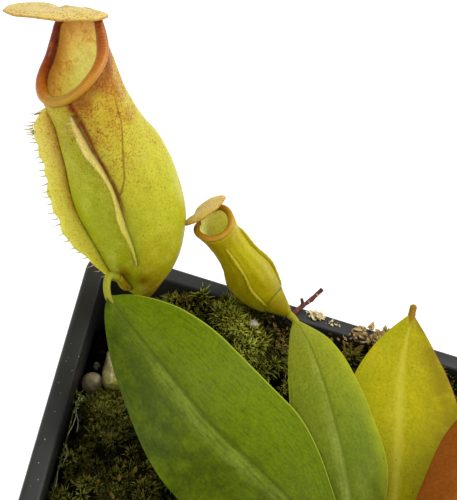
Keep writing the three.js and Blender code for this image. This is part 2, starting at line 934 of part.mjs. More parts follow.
// The rolled, finely ribbed rim round the mouth, and the frame of its section at an angle.
function rimSection(pitcher, frame, angle) {
  const wallMiddle = pitcher.wall / 2;
  const at = (turn) => wallPoint(pitcher, frame, 1, turn, wallMiddle);
  const step = 0.01;
  const travel = at(angle + step).sub(at(angle - step)).normalize();
  const outwards = frame.front
    .clone()
    .multiplyScalar(Math.cos(angle))
    .addScaledVector(frame.side, Math.sin(angle));
  const normal = new THREE.Vector3().crossVectors(outwards, travel).normalize();
  const out = new THREE.Vector3().crossVectors(travel, normal);
  const middle = along(at(angle), [normal, pitcher.rim.height + CLEARANCE]);
  return { middle, normal, out };
}

function makeRim(pitcher, frame) {
  const { width, height, ribs } = pitcher.rim;
  const rings = Array.from({ length: ribs }, (_, k) => {
    const section = rimSection(pitcher, frame, (2 * Math.PI * k) / ribs);
    const swell = k % 2 === 0 ? 1 + RIB_SWELL : 1 - RIB_SWELL;
    return Array.from({ length: 8 }, (__, i) => {
      const turn = (2 * Math.PI * i) / 8;
      const lift = Math.cos(turn) * height;
      return along(
        section.middle,
        [section.normal, lift > 0 ? lift * swell : lift],
        [section.out, Math.sin(turn) * width * swell],
      );
    });
  });
  addPiece(pitcher.name + "_rim", ringLoft(rings), pitcher.rimColour, 0.35);
}

// The lid: a domed ovate plate on a short neck that rises from the back of the mouth.
function makeLid(pitcher, frame) {
  const { lid } = pitcher;
  const normal = heading(lid.azimuth, lid.elevation);
  const reach = frame.front.clone().addScaledVector(normal, -frame.front.dot(normal)).normalize();
  const across = new THREE.Vector3().crossVectors(normal, reach);
  const back = rimSection(pitcher, frame, Math.PI);
  const seat = along(back.middle, [back.normal, pitcher.rim.height + CLEARANCE]);
  const middle = along(seat, [normal, lid.rise], [reach, lid.reach], [across, lid.sway]);
  const sides = 24;
  const ringAt = (share, offset) =>
    Array.from({ length: sides }, (_, i) => {
      const turn = (2 * Math.PI * i) / sides;
      const notch = 1 - LID_NOTCH.depth * Math.exp(-(((turn - Math.PI) / LID_NOTCH.halfTurn) ** 2));
      const ovate = 1 - LID_OVATE * Math.cos(turn);
      return along(
        middle,
        [reach, (lid.length / 2) * share * notch * Math.cos(turn)],
        [across, (lid.width / 2) * share * ovate * Math.sin(turn)],
        [normal, offset - lid.dome * share * share],
      );
    });
  const half = lid.thickness / 2;
  const plate = loft([
    ...[0.2, 0.6, 0.88].map((share) => ringAt(share, -half)),
    ringAt(1, -THINNEST / 2),
    ringAt(1, THINNEST / 2),
    ...[0.88, 0.6, 0.2].map((share) => ringAt(share, half)),
  ]);
  const neckRing = (centre, share) =>
    Array.from({ length: 10 }, (_, i) => {
      const turn = (2 * Math.PI * i) / 10;
      const breadth = pitcher.neckWidth * (1 + 0.2 * share);
      return along(
        centre,
        [reach, (half + 0.2) * Math.cos(turn)],
        [across, breadth * Math.sin(turn)],
      );
    });
  const head = along(seat, [normal, lid.rise - lid.dome * 0.6]);
  const neck = loft([neckRing(seat, 0), neckRing(head, 1)]);
  addPiece(pitcher.name + "_lid", join([plate, neck]), pitcher.lidColour, 0.5);
}

function makePitcher(pitcher) {
  const frame = pitcherFrame(pitcher);
  makeCup(pitcher, frame);
  makeRim(pitcher, frame);
  makeLid(pitcher, frame);
}

// A geometry of three.js with its shared corners merged, so that it closes.
function weld(geometry) {
  const source = geometry.index ? geometry.toNonIndexed() : geometry;
  const places = source.attributes.position;
  const seen = new Map();
  const points = [];
  const triangles = [];
  for (let k = 0; k < places.count; k++) {
    const point = new THREE.Vector3().fromBufferAttribute(places, k);
    const key = point.toArray().map((value) => Math.round(value * 1e4)).join();
    if (!seen.has(key)) {
      seen.set(key, points.length);
      points.push(point);
    }
    triangles.push(seen.get(key));
  }
  const whole = [];
  for (let k = 0; k < triangles.length; k += 3) {
    const [a, b, c] = triangles.slice(k, k + 3);
    if (a !== b && b !== c && c !== a) whole.push(a, b, c);
  }
  return closedGeometry(points, whole);
}

function makeLoosePieces() {
  const twig = bar(curveThrough(TWIG.path), (share) => TWIG.radius * (1 - 0.25 * share), 6, 8);
  const stub = bar(curveThrough(TWIG.stub), () => TWIG.radius * 0.7, 6, 2);
  addPiece("twig", join([twig, stub]), TWIG.colour, 0.8);

  const prill = new THREE.IcosahedronGeometry(PRILL.diameter / 2, 2);
  const prillRest = mixHeight(PRILL.x + PRILL.diameter / 3, PRILL.y) + PRILL.diameter / 2 + CLEARANCE;
  prill.translate(PRILL.x, PRILL.y, prillRest);
  addPiece("fertiliser_prill", weld(prill), PRILL.colour, 0.35);

  const chipRings = [0, 0.25, 0.5, 0.75, 1].map((share) => {
    const x = THREE.MathUtils.lerp(CHIP.from[0], CHIP.to[0], share);
    const y = THREE.MathUtils.lerp(CHIP.from[1], CHIP.to[1], share);
    const radius = THREE.MathUtils.lerp(CHIP.thin, CHIP.thick, Math.sin(share * 2.2) * 0.9);
    const z = mixHeight(x, y) + CHIP.lift + radius;
    return Array.from({ length: 10 }, (_, i) => {
      const turn = (2 * Math.PI * i) / 10;
      const knobs = 1 + CHIP.knob * Math.sin(3 * turn + 6 * share);
      return new THREE.Vector3(
        x + radius * 1.1 * knobs * Math.cos(turn),
        y,
        z + radius * Math.min(knobs, 1) * Math.sin(turn),
      );
    });
  });
  addPiece("pale_chip", loft(chipRings), CHIP.colour, 0.9);

  const pebble = new THREE.IcosahedronGeometry(PEBBLE.diameter / 2, 2);
  pebble.scale(1, 0.85, 0.8);
  pebble.translate(PEBBLE.x, PEBBLE.y, PEBBLE.z);
  addPiece("pale_pebble", weld(pebble), PEBBLE.colour, 0.95);
}

makePot();
makeGrowingMix();
for (const cushion of MOSS) makeMoss(cushion);
makeStem();
for (const leaf of LEAVES) makeLeaf(leaf);
for (const pitcher of PITCHERS) makePitcher(pitcher);
makeLoosePieces();

export default plant;
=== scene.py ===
"""A young pitcher plant in a square black nursery pot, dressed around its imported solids.

The plant's shapes are worked out in millimetres from the same sizes as the solids, and become meshes in
metres. Marks kept on the points, such as the place along a leaf or a pitcher, steer the materials.
"""

import itertools
import math

import bpy
import numpy as np
from bpy.props import FloatProperty, FloatVectorProperty, IntProperty, PointerProperty
from mathutils import Euler, Matrix, Vector


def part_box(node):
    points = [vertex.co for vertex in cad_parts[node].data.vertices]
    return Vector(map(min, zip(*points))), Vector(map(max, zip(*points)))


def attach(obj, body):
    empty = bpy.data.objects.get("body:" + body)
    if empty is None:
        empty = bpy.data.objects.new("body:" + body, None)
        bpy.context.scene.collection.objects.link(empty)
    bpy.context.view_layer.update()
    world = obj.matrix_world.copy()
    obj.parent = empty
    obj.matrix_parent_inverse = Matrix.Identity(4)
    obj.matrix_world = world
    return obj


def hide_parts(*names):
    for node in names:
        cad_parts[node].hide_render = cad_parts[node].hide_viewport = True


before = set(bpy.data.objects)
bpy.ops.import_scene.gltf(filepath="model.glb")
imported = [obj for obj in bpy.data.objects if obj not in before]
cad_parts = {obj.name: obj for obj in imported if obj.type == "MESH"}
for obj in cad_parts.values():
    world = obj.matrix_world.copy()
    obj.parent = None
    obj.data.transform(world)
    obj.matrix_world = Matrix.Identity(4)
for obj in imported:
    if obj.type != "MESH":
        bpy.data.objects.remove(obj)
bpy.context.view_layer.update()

bl_info = {
    "name": "Potted pitcher plant",
    "version": (1, 0, 0),
    "blender": (4, 5, 0),
    "location": "View3D > Sidebar > Pitcher plant",
    "description": "Builds a pitcher plant in a nursery pot, piece by piece",
    "category": "Add Mesh",
}

MM = 0.001  # metres in a millimetre
UP = np.array([0.0, 0.0, 1.0])
CLEARANCE = 0.3  # between two pieces that touch, in millimetres, as all lengths down to the stage
SEED = 11


# The sizes of the pieces


def node_size(name):
    """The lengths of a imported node's box, in millimetres."""
    low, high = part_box(name)
    return [(high[k] - low[k]) / MM for k in range(3)]


POT_SIDE, _, POT_HEIGHT = node_size("pot")
POT = {
    "base": 73.0,  # across the underside
    "lip": 3.0,  # width of the band on top
    "collar": 9.0,  # height of the turned-down skirt
    "skirt": 1.1,  # its thickness
    "shelf": 2.2,  # thickness of the lip where it meets the wall
    "wall": 1.3,
    "floor": 1.8,
    "corner": 5.0,
    "inner_corner": 3.5,
    "drain": 7.0,
    "drain_inset": 10.0,
    "rounding": 0.7,
    "inner_rounding": 0.5,
    "foot_chamfer": 0.8,
}
MIX = {"top": 82.5, "swell": 0.6, "wave": 7.0}
HOLLOW = {"x": -43.0, "y": 36.0, "depth": 5.0, "reach": 8.0}  # the dark dip in the far left corner
TRENCH = {"x": -47.0, "depth": 3.5, "reach": 5.0}  # the sunk strip along the left wall
STEM_HOLE = 3.6

# Each cushion: its middle, its half-lengths along X and Y, and its height over the mix.
MOSS = {
    "moss_back_left": {"x": -24, "y": 43.5, "half_x": 13.5, "half_y": 7, "height": 7.3},
    "moss_back_right": {"x": 6.5, "y": 43, "half_x": 14, "half_y": 6.5, "height": 6.8},
    "moss_left": {"x": -35.5, "y": 5, "half_x": 9, "half_y": 20, "height": 3.6},
    "moss_front": {"x": -6, "y": -32, "half_x": 26, "half_y": 12, "height": 4.2},
    "moss_right": {"x": 33, "y": 4, "half_x": 11, "half_y": 22, "height": 4},
}

STEM = [[62, 2.6], [80, 3], [92, 3.2], [101, 2.7], [104.5, 1.4], [106.5, 0.4]]  # height and radius

# A leaf's rib holds, from the stem outwards, the reach from the stem's axis, the height over the lip
# and the swing of its azimuth. The other values are those of the solids: "widest" is a share of the
# length, "sides" the shares of half the width left and right, "tip" the power that shapes the point,
# and "droop", "fold" and "roll" angles in degrees.
LEAVES = {
    "leaf_1": {
        "azimuth": 146,
        "rib": [
            [3.6, 8.1, 0], [10, 9.6, 0], [17.8, 10, 0], [33.3, 9.2, 0], [42.2, 10.6, 0],
            [49.2, 11.8, 0], [55.6, 13.3, 0],
        ],
        "tendril": [[-46.9, 32.4, 104.4], [-46.9, 33.9, 104.4], [-45.7, 35.3, 102.8]], "width": 24,
        "widest": 0.45, "sides": [0.96, 1], "foot": 5, "tip": 0.68, "droop": 5, "fold": 20, "roll": -3,
        "wave": 0.02,
    },
    "leaf_2": {
        "azimuth": 110,
        "rib": [
            [3.6, 6.2, 0], [8, 8.4, 0], [13.3, 9.2, 0], [19.3, 10, 0], [25.9, 9.9, 0], [32.1, 9.3, 0],
            [40.2, 7.4, 0], [46.9, 4, 0],
        ],
        "tendril": [[-16.9, 45.3, 93.3]], "width": 13.4, "widest": 0.36, "sides": [1, 1], "foot": 5,
        "tip": 0.85, "droop": 16, "fold": 6, "roll": -10.5, "wave": 0.03,
    },
    "leaf_3": {
        "azimuth": 87,
        "rib": [
            [3.6, 3.1, -6], [8, 6.4, -6], [14.5, 8, -5], [26.4, 6.5, -2], [38.7, 4.5, -0.5],
            [44, 4.9, 0], [50.4, 6.8, 0.3],
        ],
        "tendril": [[2.3, 51.5, 97.6]], "width": 19, "widest": 0.6, "sides": [0.88, 1.08], "foot": 4.4,
        "tip": 1, "droop": 8, "fold": 4, "roll": -4, "wave": 0.03,
    },
    "leaf_4": {
        "azimuth": 58, "rib": [[3.4, 10.8, 0], [9, 16, 0], [18, 19.5, 0], [30, 20.5, 0], [42, 18, 0]],
        "tendril": [[23.3, 37.6, 107.3]], "width": 14.5, "widest": 0.55, "sides": [1, 1], "foot": 4,
        "tip": 0.8, "droop": 10, "fold": 8, "roll": 5, "wave": 0.03,
    },
    "leaf_5": {
        "azimuth": 352,
        "rib": [[3.6, 2.5, 0], [9, 5, 0], [20, 7.4, 0], [32, 7.6, 0], [43, 7, 0], [50, 7.8, 0]],
        "tendril": [[51, -7.3, 98.4], [51.9, -7.5, 99.5]], "width": 20, "widest": 0.52, "sides": [1, 1],
        "foot": 4.4, "tip": 0.65, "droop": 9, "fold": 12, "roll": 4, "wave": 0.04,
    },
    "leaf_6": {
        "azimuth": 286,
        "rib": [[3.5, 5.5, 0], [9, 8, 0], [20, 10.4, 0], [34, 10.2, 0], [46, 7.4, 0], [53, 6.4, 0]],
        "tendril": [[14.9, -52, 96.7], [15.2, -53, 97.7]], "width": 22, "widest": 0.5,
        "sides": [1, 0.95], "foot": 4.4, "tip": 0.6, "droop": 9, "fold": 14, "roll": -3, "wave": 0.04,
    },
    "leaf_7": {
        "azimuth": 214,
        "rib": [[3.6, 0.5, 0], [9, 3, 0], [18, 5.4, 0], [30, 5.8, 0], [41, 4.6, 0], [48, 4.6, 0]],
        "tendril": [[-40.6, -27.4, 95.2], [-41.4, -27.9, 96.2]], "width": 17, "widest": 0.55,
        "sides": [1, 1], "foot": 4.4, "tip": 0.7, "droop": 10, "fold": 10, "roll": 3, "wave": 0.04,
    },
}
TENDRIL = 0.62  # radius
# A leaf's thickness at its middle and at its edge, and the depths of its groove and of its keel
LEAF_THICK, LEAF_THIN, LEAF_GROOVE, LEAF_KEEL = 0.62, 0.42, 0.16, 0.75

# A pitcher stands on its base point along an axis, and its front is turned about that axis from the
# side that faces up. Its outline holds the share of the length from the base to the mouth, the radius
# there and how far the body bows to the back. Its hollow ends at the share "floor". Its mouth slants
# down to the front, and at the back it rises by "neck" and narrows by "pinch". The inlet is the horn
# from the tendril's end over a bend to the middle of the body at a share of its length, where it has
# widened to a share of the body's radius. Each wing runs over a span of the length, and between two
# shares of its own way it turns from an angle off the front at its foot to one at its head. A lid has
# its middle, the way its upper side faces, its swing about that way, and the depths of its dome,
# notch, fold, lean and ruffle.
PITCHERS = {
    "pitcher_large": {
        "base": [-40.4, 37.7, 97.2], "azimuth": 144.1, "elevation": 48, "turn": -80, "length": 36.5,
        "outline": [
            [0, 1.2, 0.4], [0.03, 2.4, 0.6], [0.1, 4.7, 1.8], [0.18, 6.5, 2.1], [0.28, 7.7, 2.6],
            [0.38, 8.15, 2.6], [0.49, 8.15, 2.5], [0.59, 7.6, 2.1], [0.66, 6.7, 1.3], [0.77, 5.9, 0.5],
            [0.88, 5.6, 0.3], [1, 5.65, -0.3],
        ],
        "wall": 0.9, "floor": 0.14, "slant": 30, "neck": 3.15, "pinch": 0.0,
        "inlet": [-45.4, 35.6, 102.4], "inlet_share": 0.1, "inlet_swell": 0.4, "inlet_power": 1.6,
        "inlet_stain": 0.3, "inlet_bend": [-43.6, 37, 99.6],
        "wings": [
            {
                "foot": -16, "head": -45, "turn": (0.15, 0.65), "height": 3.0, "span": (0.12, 0.96),
                "spines": 26, "spine": 1.05,
            },
            {
                "foot": 33, "head": 19, "turn": (0.6, 1.0), "height": 1.6, "span": (0.2, 0.96),
                "spines": 26, "spine": 0.8,
            },
        ],
        "rim": {"width": 0.88, "height": 0.72, "ribs": 120},
        "lid": {
            "middle": [-65.72, 55.4, 132.05], "azimuth": 110.5, "elevation": 53.6, "swing": 9.5,
            "width": 14.6, "length": 14.3, "thickness": 0.6, "dome": 0.94, "notch": 0.19, "fold": 1.13,
            "fold_width": 0.31, "lean": 0.33, "ruffle": 0.08,
        },
        "neck_width": 2.8,
    },
    "pitcher_small": {
        "base": [-17.7, 45.5, 93.1], "azimuth": 176.7, "elevation": 42, "turn": -39, "length": 22.2,
        "outline": [
            [0, 0.8, 0.2], [0.05, 1.7, 1.4], [0.13, 3, 2.7], [0.24, 3.7, 2.9], [0.39, 4.05, 2.6],
            [0.49, 3.75, 1.7], [0.59, 3.25, 0.8], [0.75, 2.9, 0], [0.9, 2.9, -0.4], [1, 3.15, -0.8],
        ],
        "wall": 0.75, "floor": 0.2, "slant": 18.7, "neck": -0.7, "pinch": 0.2,
        "inlet": [-17.0, 45.45, 93.2], "inlet_share": 0.2, "inlet_swell": 0.97, "inlet_power": 0.9,
        "inlet_stain": 0.0, "inlet_bend": [-18.0, 45.6, 93.7],
        "wings": [
            {
                "foot": -30, "head": -30, "turn": (0.15, 0.65), "height": 0.42, "span": (0.16, 0.9),
                "spines": 12, "spine": 0.4,
            },
            {
                "foot": 58, "head": 58, "turn": (0.15, 0.65), "height": 0.36, "span": (0.16, 0.9),
                "spines": 12, "spine": 0.4,
            },
        ],
        "rim": {"width": 0.5, "height": 0.4, "ribs": 80},
        "lid": {
            "middle": [-36.0, 47.7, 109.3], "azimuth": 156.6, "elevation": 30.6, "swing": 29.4,
            "width": 7.4, "length": 7.4, "thickness": 0.5, "dome": 0.2, "notch": 0.2, "fold": 0.25,
            "fold_width": 0.3, "lean": 0.0, "ruffle": 0.05,
        },
        "neck_width": 1.5,
    },
}
NECK_HALF = math.cos(math.radians(40))  # the flat top of a neck takes 40 degrees each way

TWIG = {
    "path": [[-15.9, 47.2, 90.8], [-14.7, 49.0, 91.0], [-13.3, 50.9, 91.3], [-11.9, 53.0, 92.2]],
    "radius": 0.44, "stub": [[-14.3, 49.4, 91.1], [-15.0, 50.3, 91.8]],
}
PRILL = {"x": -43.6, "y": 30.6, "diameter": 3.5}
CHIP = {"from": [-41.3, 37.2], "to": [-39.75, 28.9], "thin": 1.2, "thick": 2.05, "lift": 0.9}
PEBBLE = {"place": [-21.8, 43.3, 90.7], "diameter": 1.6}

# The photograph's camera, placed from the two visible lines of the pot's rim: angles in degrees
CAMERA = {
    "place": [-55.9, -85.82, 269.4],
    "azimuth": -11.0, "elevation": 51.0, "roll": 26.0, "lens": 100.0,
}


# Numbers and curves


def linear(code):
    """The linear colour of an sRGB hex value, with its alpha."""
    parts = [int(code[k : k + 2], 16) / 255 for k in (1, 3, 5)]
    return tuple(v / 12.92 if v <= 0.04045 else ((v + 0.055) / 1.055) ** 2.4 for v in parts) + (1.0,)


def per_metre(millimetres):
    """The texture scale whose pattern repeats at that size."""
    return 1 / (millimetres * MM)


def smooth_step(values, low, high):
    """Rises smoothly from 0 at the low value to 1 at the high one."""
    way = np.clip((np.asarray(values, float) - low) / (high - low), 0, 1)
    return way * way * (3 - 2 * way)


def mixed(low, high, share):
    """The value at that share of the way from low to high."""
    return low + (high - low) * share


def unit(vectors):
    """The vectors, each at length 1."""
    return vectors / np.linalg.norm(vectors, axis=-1, keepdims=True)


def once_round(count):
    """Angles at even steps once round."""
    return np.linspace(0, 2 * np.pi, count, endpoint=False)


def marked(*values):
    """The marks of a grid of points, from three values that vary along it or stay the same."""
    return np.stack(np.broadcast_arrays(*values), -1)


def heading(azimuth, elevation=0):
    """The direction at an azimuth and an elevation in degrees."""
    turn, lift = math.radians(azimuth), math.radians(elevation)
    return np.array([math.cos(lift) * math.cos(turn), math.cos(lift) * math.sin(turn), math.sin(lift)])


def lumps(points, size, seed):
    """Smooth seeded noise from -1 to 1 at the points, with lumps of that size."""
    cells_across = 32  # after which the noise repeats
    table = np.random.default_rng(seed).uniform(-1, 1, (cells_across,) * 3)
    cells = np.asarray(points, float) / size
    low = np.floor(cells).astype(int)
    part = cells - low
    ease = part * part * (3 - 2 * part)
    total = 0
    for corner in itertools.product((0, 1), repeat=3):
        weight = np.prod([e if c else 1 - e for c, e in zip(corner, np.moveaxis(ease, -1, 0))], axis=0)
        at = (low + corner) % cells_across
        total = total + weight * table[at[..., 0], at[..., 1], at[..., 2]]
    return total


def cubic(start, rise, leave, arrive, way):
    """A smooth way from a start over a rise, with its slopes where it leaves and arrives."""
    bend = 3 * rise - 2 * leave - arrive + way * (leave + arrive - 2 * rise)
    return start + way * (leave + way * bend)


class Curve:
    """A smooth centripetal curve through points, read at shares of its length."""

    STEPS = 40  # to each point, when its length is measured
    SHORT = 1e-3  # the share each way over which its direction is taken

    def __init__(self, points):
        inner = np.asarray(points, float)
        before, after = 2 * inner[0] - inner[1], 2 * inner[-1] - inner[-2]
        self.knots = np.concatenate([[before], inner, [after]])
        self.gaps = np.linalg.norm(np.diff(self.knots, axis=0), axis=1) ** 0.5
        self.times = np.linspace(0, len(inner) - 1, self.STEPS * len(inner))
        trail = self.at_time(self.times)
        lengths = np.concatenate([[0], np.cumsum(np.linalg.norm(np.diff(trail, axis=0), axis=1))])
        self.shares = lengths / lengths[-1]

    def at_time(self, times):
        """The curve's points at times, which go up by one from each given point to the next."""
        span = np.clip(times.astype(int), 0, len(self.knots) - 4)
        u = (times - span)[:, None]
        a, b, c, d = (self.knots[span + k] for k in range(4))
        g, h, k = (self.gaps[span + j][:, None] for j in range(3))
        leave = ((b - a) / g - (c - a) / (g + h) + (c - b) / h) * h
        arrive = ((c - b) / h - (d - b) / (h + k) + (d - c) / k) * h
        return cubic(b, c - b, leave, arrive, u)

    def at(self, shares):
        """The curve's points at shares of its length."""
        return self.at_time(np.interp(np.atleast_1d(shares), self.shares, self.times))

    def direction(self, shares):
        """The way the curve runs at shares of its length."""
        steps = (-self.SHORT, self.SHORT)
        before, after = (np.clip(np.atleast_1d(shares) + step, 0, 1) for step in steps)
        return unit(self.at(after) - self.at(before))


def profile(rows, share):
    """The values of a list of rows at the shares, by a smooth curve through them."""
    rows = np.asarray(rows, float)
    share = np.asarray(share, float)
    k = np.clip(np.searchsorted(rows[:, 0], share, side="left") - 1, 0, len(rows) - 2)
    before, start, end, after = (rows[np.clip(k + j, 0, len(rows) - 1)] for j in (-1, 0, 1, 2))
    span = end[..., :1] - start[..., :1]
    u = np.clip((share[..., None] - start[..., :1]) / span, 0, 1)
    leave = (end - before) / (end[..., :1] - before[..., :1]) * span
    arrive = (after - start) / (after[..., :1] - start[..., :1]) * span
    return np.moveaxis(cubic(start, end - start, leave, arrive, u)[..., 1:], -1, 0)


# Meshes


class Shape:
    """Points in millimetres with their faces, and the marks on the points that the materials read."""

    def __init__(self):
        self.points, self.places, self.tints, self.faces = [], [], [], []
        self.count = 0

    def add(self, points, faces, place=(0, 0, 0), tint=(0, 0, 0)):
        """Takes in points with their marks, and blocks of faces that count from the first of them."""
        points = np.asarray(points, float).reshape(-1, 3)
        for store, values in ((self.places, place), (self.tints, tint)):
            store.append(np.broadcast_to(np.asarray(values, float).reshape(-1, 3), points.shape))
        self.points.append(points)
        self.faces += [np.asarray(block) + self.count for block in faces]
        self.count += len(points)
        return self

    def piece(self, name, slot, material, replaces=(), smooth=True):
        """The finished object, riding on the plant in place of the solids that it replaces."""
        mesh = bpy.data.meshes.new(name)
        corners = np.concatenate([block.ravel() for block in self.faces])
        sizes = np.concatenate([np.full(len(block), block.shape[1]) for block in self.faces])
        mesh.vertices.add(self.count)
        mesh.vertices.foreach_set("co", (np.concatenate(self.points) * MM).ravel())
        mesh.loops.add(len(corners))
        mesh.loops.foreach_set("vertex_index", corners)
        mesh.polygons.add(len(sizes))
        mesh.polygons.foreach_set("loop_start", np.concatenate([[0], np.cumsum(sizes)[:-1]]))
        mesh.polygons.foreach_set("use_smooth", np.full(len(sizes), smooth))
        for label, values in (("place", self.places), ("tint", self.tints)):
            mark = mesh.attributes.new(label, "FLOAT_VECTOR", "POINT")
            mark.data.foreach_set("vector", np.concatenate(values).ravel())
        mesh.update(calc_edges=True)
        mesh.materials.append(material)
        piece = bpy.data.objects.new(name, mesh)
        bpy.context.scene.collection.objects.link(piece)
        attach(piece, "root")
        if replaces:
            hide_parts(*replaces)
        return piece


def grid_faces(rows, columns, round_rows=False, round_columns=False):
    """Quads of a grid of points that follow each other row by row, closed where it goes round."""
    i = np.arange(rows if round_rows else rows - 1)
    j = np.arange(columns if round_columns else columns - 1)
    i, j = np.meshgrid(i, j, indexing="ij")
    below, beside = (i + 1) % rows, (j + 1) % columns
    quads = [i * columns + j, i * columns + beside, below * columns + beside, below * columns + j]
    return np.stack(quads, -1).reshape(-1, 4)


def add_loft(shape, rings, place=(0, 0, 0), tint=(0, 0, 0)):
    """A closed body through rings, each counter-clockwise seen from the way the rings go."""
    rings = np.asarray(rings, float)
    rows, sides = rings.shape[:2]
    points = np.concatenate([rings.reshape(-1, 3), [rings[0].mean(0), rings[-1].mean(0)]])
    around = np.arange(sides)
    following = (around + 1) % sides
    last = (rows - 1) * sides
    caps = [
        np.stack([following, around, np.full(sides, rows * sides)], -1),
        np.stack([last + around, last + following, np.full(sides, rows * sides + 1)], -1),
    ]
    marks = []
    for values in (place, tint):
        values = np.asarray(values, float)
        if values.ndim > 1:
            values = np.broadcast_to(values, rings.shape)
            values = np.concatenate([values.reshape(-1, 3), [values[0, 0], values[-1, 0]]])
        marks.append(values)
    return shape.add(points, [grid_faces(rows, sides, round_columns=True), *caps], *marks)


def add_sheet(shape, upper, lower, place_upper, place_lower):
    """A thin closed body between an upper and a lower grid of points."""
    rows, columns = upper.shape[:2]
    under = rows * columns
    quads = grid_faces(rows, columns)
    border = [i * columns for i in range(rows - 1)]
    border += [(rows - 1) * columns + j for j in range(columns - 1)]
    border += [i * columns + columns - 1 for i in range(rows - 1, 0, -1)]
    border += list(range(columns - 1, 0, -1))
    here = np.array(border)
    there = np.roll(here, -1)
    strip = np.stack([there, here, under + here, under + there], -1)
    points = np.concatenate([upper.reshape(-1, 3), lower.reshape(-1, 3)])
    places = np.concatenate([place_upper.reshape(-1, 3), place_lower.reshape(-1, 3)])
    return shape.add(points, [quads[:, ::-1], under + quads, strip], places)


def tube_rings(path, radii, sides):
    """Rings round a path of points, turned as little as possible from one to the next."""
    path = np.asarray(path, float)
    radii = np.broadcast_to(np.asarray(radii, float), len(path))
    ways = unit(np.gradient(path, axis=0))
    across = np.cross(ways[0], UP if abs(ways[0] @ UP) < 0.9 else [1.0, 0, 0])
    turns = 2 * np.pi * np.arange(sides) / sides
    rings = []
    for middle, way, radius in zip(path, ways, radii):
        across = unit(across - way * (across @ way))
        beside = np.cross(way, across)
        ring = np.cos(turns)[:, None] * across + np.sin(turns)[:, None] * beside
        rings.append(middle + radius * ring)
    return np.array(rings)


def lump_mesh(detail):
    """Points and triangles of a ball of radius 1, from twelve points split that many times."""
    golden = (1 + 5**0.5) / 2
    pairs = [(x, y * golden) for x in (-1, 1) for y in (-1, 1)]
    rows = [[(a, b, 0), (0, a, b), (b, 0, a)] for a, b in pairs]
    points = unit(np.array(list(zip(*rows)), float).reshape(-1, 3))
    gaps = np.linalg.norm(points[:, None] - points[None], axis=-1)
    beside = (gaps > 0.01) & (gaps < np.sort(gaps[0])[1] * 1.1)
    faces = []
    for a, b, c in itertools.combinations(range(len(points)), 3):
        if beside[a, b] and beside[b, c] and beside[a, c]:
            faces.append((a, b, c) if np.linalg.det(points[[a, b, c]]) > 0 else (a, c, b))
    faces = np.array(faces)
    for _ in range(detail):
        corners = points[faces]
        halves = unit((corners + np.roll(corners, -1, axis=1)) / 2)
        everything = np.concatenate([corners, halves], axis=1).reshape(-1, 3)
        points, back = np.unique(np.round(everything, 9), axis=0, return_inverse=True)
        six = back.reshape(-1, 6)
        split = [(0, 3, 5), (3, 1, 4), (5, 4, 2), (3, 4, 5)]
        faces = np.concatenate([six[:, list(part)] for part in split])
    return points, faces


def stamp(shape, template, faces, spots, axes, sizes, place=(0, 0, 0), tints=(0, 0, 0)):
    """Copies a small template to each spot, along the spot's three axes, at its size."""
    count, corners = len(spots), len(template)
    sizes = np.asarray(sizes, float)
    sizes = sizes[:, None] if sizes.ndim == 1 else sizes
    scaled = template[None] * sizes[:, None, :]
    points = spots[:, None] + np.einsum("nki,nij->nkj", scaled, axes)
    steps = (np.arange(count) * corners)[:, None, None]
    blocks = (faces[None] + steps).reshape(-1, faces.shape[1])
    marks = np.broadcast_to(np.asarray(place, float), (count, corners, 3)).reshape(-1, 3)
    tones = np.repeat(np.broadcast_to(np.asarray(tints, float), (count, 3)), corners, axis=0)
    return shape.add(points, [blocks], marks, tones)


def turned_axes(ups, turns):
    """Three axes for each spot: two across and the given one as the third, turned about it."""
    ups = unit(ups)
    aside = np.where(np.abs(ups[:, 2:]) < 0.9, UP, np.array([1.0, 0, 0]))
    first = unit(np.cross(aside, ups))
    second = np.cross(ups, first)
    c, s = np.cos(turns)[:, None], np.sin(turns)[:, None]
    return np.stack([first * c + second * s, second * c - first * s, ups], axis=1)


# Materials


# What every range and every mix is set to
USUAL = {"MapRange": {"interpolation_type": "SMOOTHSTEP"}, "Mix": {"data_type": "RGBA"}}


